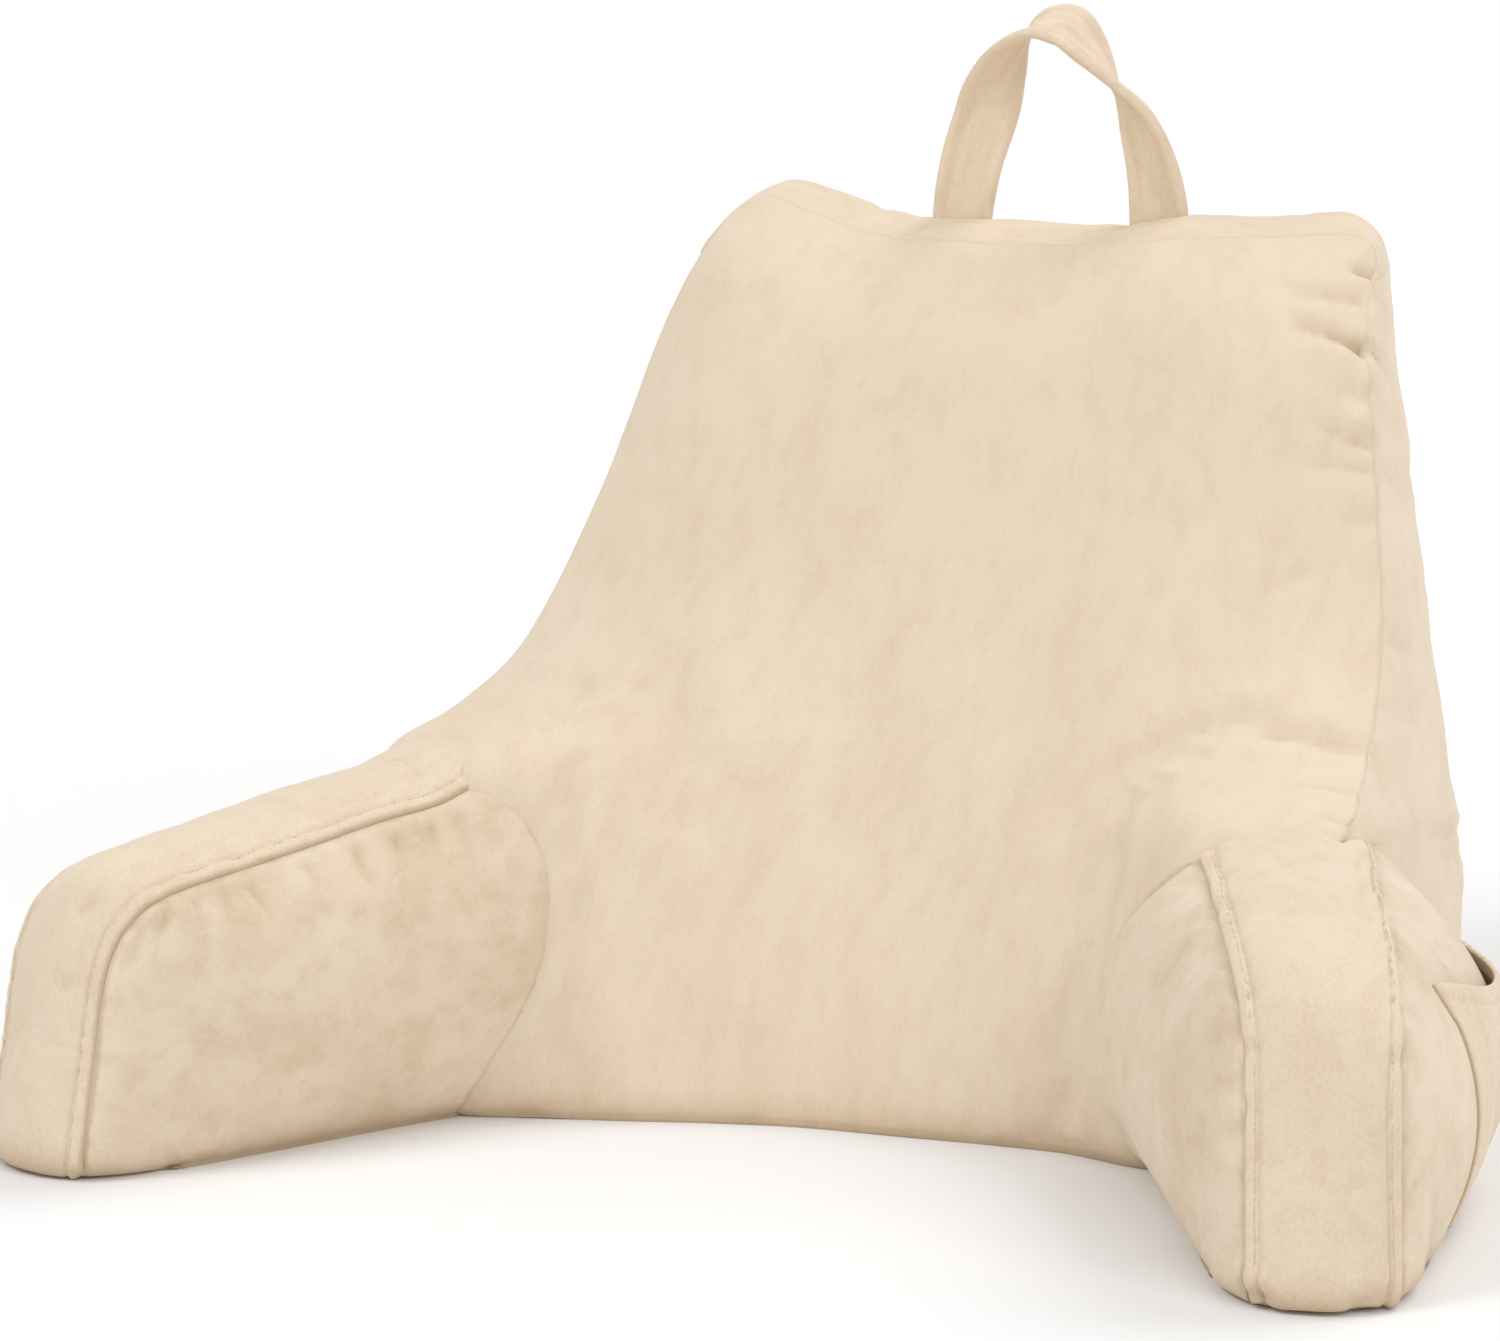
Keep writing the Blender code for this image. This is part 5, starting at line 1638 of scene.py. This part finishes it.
# %% [markdown]
# ## Plush
#
# Short plush is matt, with a soft sheen at grazing angles where the fibres' tips catch the
# light. The pile lies this way and that, so the colour wanders between a light and a
# deeper sand in cloudy patches a few centimetres wide, with a fine grain of single tufts.

# %% Plush material
CLOTH_SHADER = {"Roughness": 0.88, "Sheen Weight": 0.30, "Sheen Roughness": 0.50,
                "Sheen Tint": (1.0, 0.94, 0.86, 1.0), "Specular IOR Level": 0.12}
# each noise's scale, detail, roughness and distortion, then the range that is spread out
CLOUDS = ((16.0, 4.0, 0.55, 0.2), (0.38, 0.66))
STREAKS = ((70.0, 5.0, 0.65, 0.2), (0.42, 0.70))
GRAIN = ((520.0, 3.0, 0.65, 0.0), (0.30, 0.75))
# each bump's noise, strength and distance
PILE_LIE = ((75.0, 4.0, 0.6, 0.5), 0.30, 0.0010)
TUFTS = ((800.0, 3.0, 0.65, 0.0), 0.22, 0.0005)
PARTING_AND_SHADE_TONE = 0.85        # share of the deep sand where the pile parts and where shade is painted in seams, creases and near the floor
LIGHT_SAND = (0.745, 0.630, 0.490)
DEEP_SAND = (0.59, 0.450, 0.300)
# light and deep sand, shares of clouds, streaks and grain, stretch of the strokes across,
# along and through the pile, and the pieces that wear the cloth
CLOTHS = {
    "backrest_cloth": (LIGHT_SAND, DEEP_SAND, (0.18, 0.20, 0.18), (1.0, 0.42, 1.0),
                       ("backrest_plush",)),
    "arm_cloth": (LIGHT_SAND, DEEP_SAND, (0.45, 0.30, 0.20), (1.0, 0.75, 1.0),
                  ("arm_left_plush", "arm_right_plush")),
    "strip_cloth": (LIGHT_SAND, DEEP_SAND, (0.18, 0.20, 0.34), (1.0, 0.7, 1.0),
                    ("arm_left_strip", "arm_right_strip", "side_pocket_sheet")),
    "strap_cloth": ((0.78, 0.65, 0.495), (0.61, 0.46, 0.31), (0.32, 0.35, 0.20),
                    (1.0, 0.42, 1.0), ("carry_strap",)),
    "stitch_thread": ((0.66, 0.53, 0.385), (0.55, 0.42, 0.29), (0.2, 0.2, 0.2),
                      (1.0, 0.42, 1.0), ("arm_left_topstitch", "arm_right_topstitch"))}


def set_inputs(node, values):
    """Each named input of a shader node set to its value."""
    for socket, value in values.items():
        node.inputs[socket].default_value = value
    return node


def plush(name, light, deep, shares, strokes):
    """Principled cloth coloured between a light and a deep sand. The share of the deep
    sand is the sum of slow clouds, brush strokes and single tufts, each times its share,
    and of the darkening attribute: the pile parting in seams, and painted shade in seams,
    creases and near the floor. All but that attribute are read from the nap coordinates
    (metres across and along the pile), with the strokes drawn out along it. Two bumps raise
    the lie of the pile and its tufts."""
    made = bpy.data.materials.new(name)
    made.use_nodes = True
    nodes = made.node_tree.nodes
    links = made.node_tree.links
    shader = set_inputs(nodes["Principled BSDF"], CLOTH_SHADER)

    def attribute(name):
        node = nodes.new("ShaderNodeAttribute")
        node.attribute_name = name
        return node

    drawn_out = set_inputs(nodes.new("ShaderNodeMapping"), {"Scale": strokes})
    links.new(attribute("nap").outputs["Vector"], drawn_out.inputs["Vector"])

    def noise(scale, detail, rough, distortion):
        cloud = set_inputs(nodes.new("ShaderNodeTexNoise"), {
            "Scale": scale, "Detail": detail, "Roughness": rough, "Distortion": distortion})
        links.new(drawn_out.outputs["Vector"], cloud.inputs["Vector"])
        return cloud.outputs["Fac"]

    def weighed(source, low, high, weight):
        spread = set_inputs(nodes.new("ShaderNodeMapRange"), {
            "From Min": low, "From Max": high, "To Max": weight})
        spread.interpolation_type = "SMOOTHSTEP"
        links.new(source, spread.inputs["Value"])
        return spread.outputs["Result"]

    def added(one, two):
        total = nodes.new("ShaderNodeMath")
        total.operation = "ADD"
        total.use_clamp = True
        links.new(one, total.inputs[0])
        links.new(two, total.inputs[1])
        return total.outputs[0]

    clouds, streaks, grain = (weighed(noise(*pattern), *spread, share) for
                              (pattern, spread), share in zip((CLOUDS, STREAKS, GRAIN), shares))
    # the darkening attribute deepens the colour: pile parting in seams, painted shade in seams,
    # creases and near the floor
    parting_and_shade = weighed(attribute("parting_and_shade").outputs["Fac"], 0.0, 1.0, PARTING_AND_SHADE_TONE)
    blend = nodes.new("ShaderNodeMix")
    blend.data_type = "RGBA"
    links.new(added(added(added(clouds, streaks), grain), parting_and_shade), blend.inputs["Factor"])
    blend.inputs[6].default_value = (*light, 1.0)
    blend.inputs[7].default_value = (*deep, 1.0)
    links.new(blend.outputs[2], shader.inputs["Base Color"])
    into = shader.inputs["Normal"]
    for pattern, strength, distance in (TUFTS, PILE_LIE):
        raised = set_inputs(nodes.new("ShaderNodeBump"), {
            "Strength": strength, "Distance": distance})
        links.new(noise(*pattern), raised.inputs["Height"])
        links.new(raised.outputs["Normal"], into)
        into = raised.inputs["Normal"]
    return made


for name, (light, deep, shares, strokes, wearers) in CLOTHS.items():
    cloth = plush(name, light, deep, shares, strokes)
    for wearer in wearers:
        dressed[wearer].data.materials.append(cloth)
print("materials:", sorted(CLOTHS))

# %% [markdown]
# ## Floor and light
#
# The photograph stands on white paper in a soft studio: light from everywhere and three
# broad lamps, one from each side of the camera and one from behind the pillow, so that
# there is only a faint shadow under it.

# %% Floor and light
FLOOR_HALF = 40.0         # half the floor's side; its edge lies past what the camera sees
PAPER = {"Base Color": (0.84, 0.84, 0.84, 1.0), "Roughness": 0.9}
SKY = {"Color": (1.0, 1.0, 1.0, 1.0), "Strength": 0.59}
# where each lamp stands, degrees over which it is softened, strength
LAMPS = {
    "key_light": ((-0.60, -0.60, 0.85), 25.0, 0.92),
    "side_light": ((0.85, -0.55, 0.75), 45.0, 0.88),
    "back_light": ((0.35, 0.75, 1.0), 35.0, 1.0)}

floor_mesh = bpy.data.meshes.new("studio_floor")
floor_mesh.from_pydata([(x * FLOOR_HALF, y * FLOOR_HALF, 0) for x, y in
                        ((-1, -1), (1, -1), (1, 1), (-1, 1))], [], [(0, 1, 2, 3)])
studio_floor = linked("studio_floor", floor_mesh)
paper = bpy.data.materials.new("white_paper")
paper.use_nodes = True
set_inputs(paper.node_tree.nodes["Principled BSDF"], PAPER)
floor_mesh.materials.append(paper)

world = bpy.data.worlds.new("soft_studio")
world.use_nodes = True
set_inputs(world.node_tree.nodes["Background"], SKY)
bpy.context.scene.world = world
bpy.context.scene.view_settings.view_transform = "Standard"


def soft_sun(name, toward, spread, strength):
    """A sun that shines from the direction toward, softened over spread degrees."""
    data = bpy.data.lights.new(name, "SUN")
    data.angle = math.radians(spread)
    data.energy = strength
    back = unit(np.array(toward))
    beside = unit(np.cross((0.0, 0.0, 1.0), back))
    lamp = linked(name, data)
    lamp.matrix_world = turned_to(beside, np.cross(back, beside), back, 3 * back)


for name, (toward, spread, strength) in LAMPS.items():
    soft_sun(name, toward, spread, strength)
print("lights:", list(LAMPS))
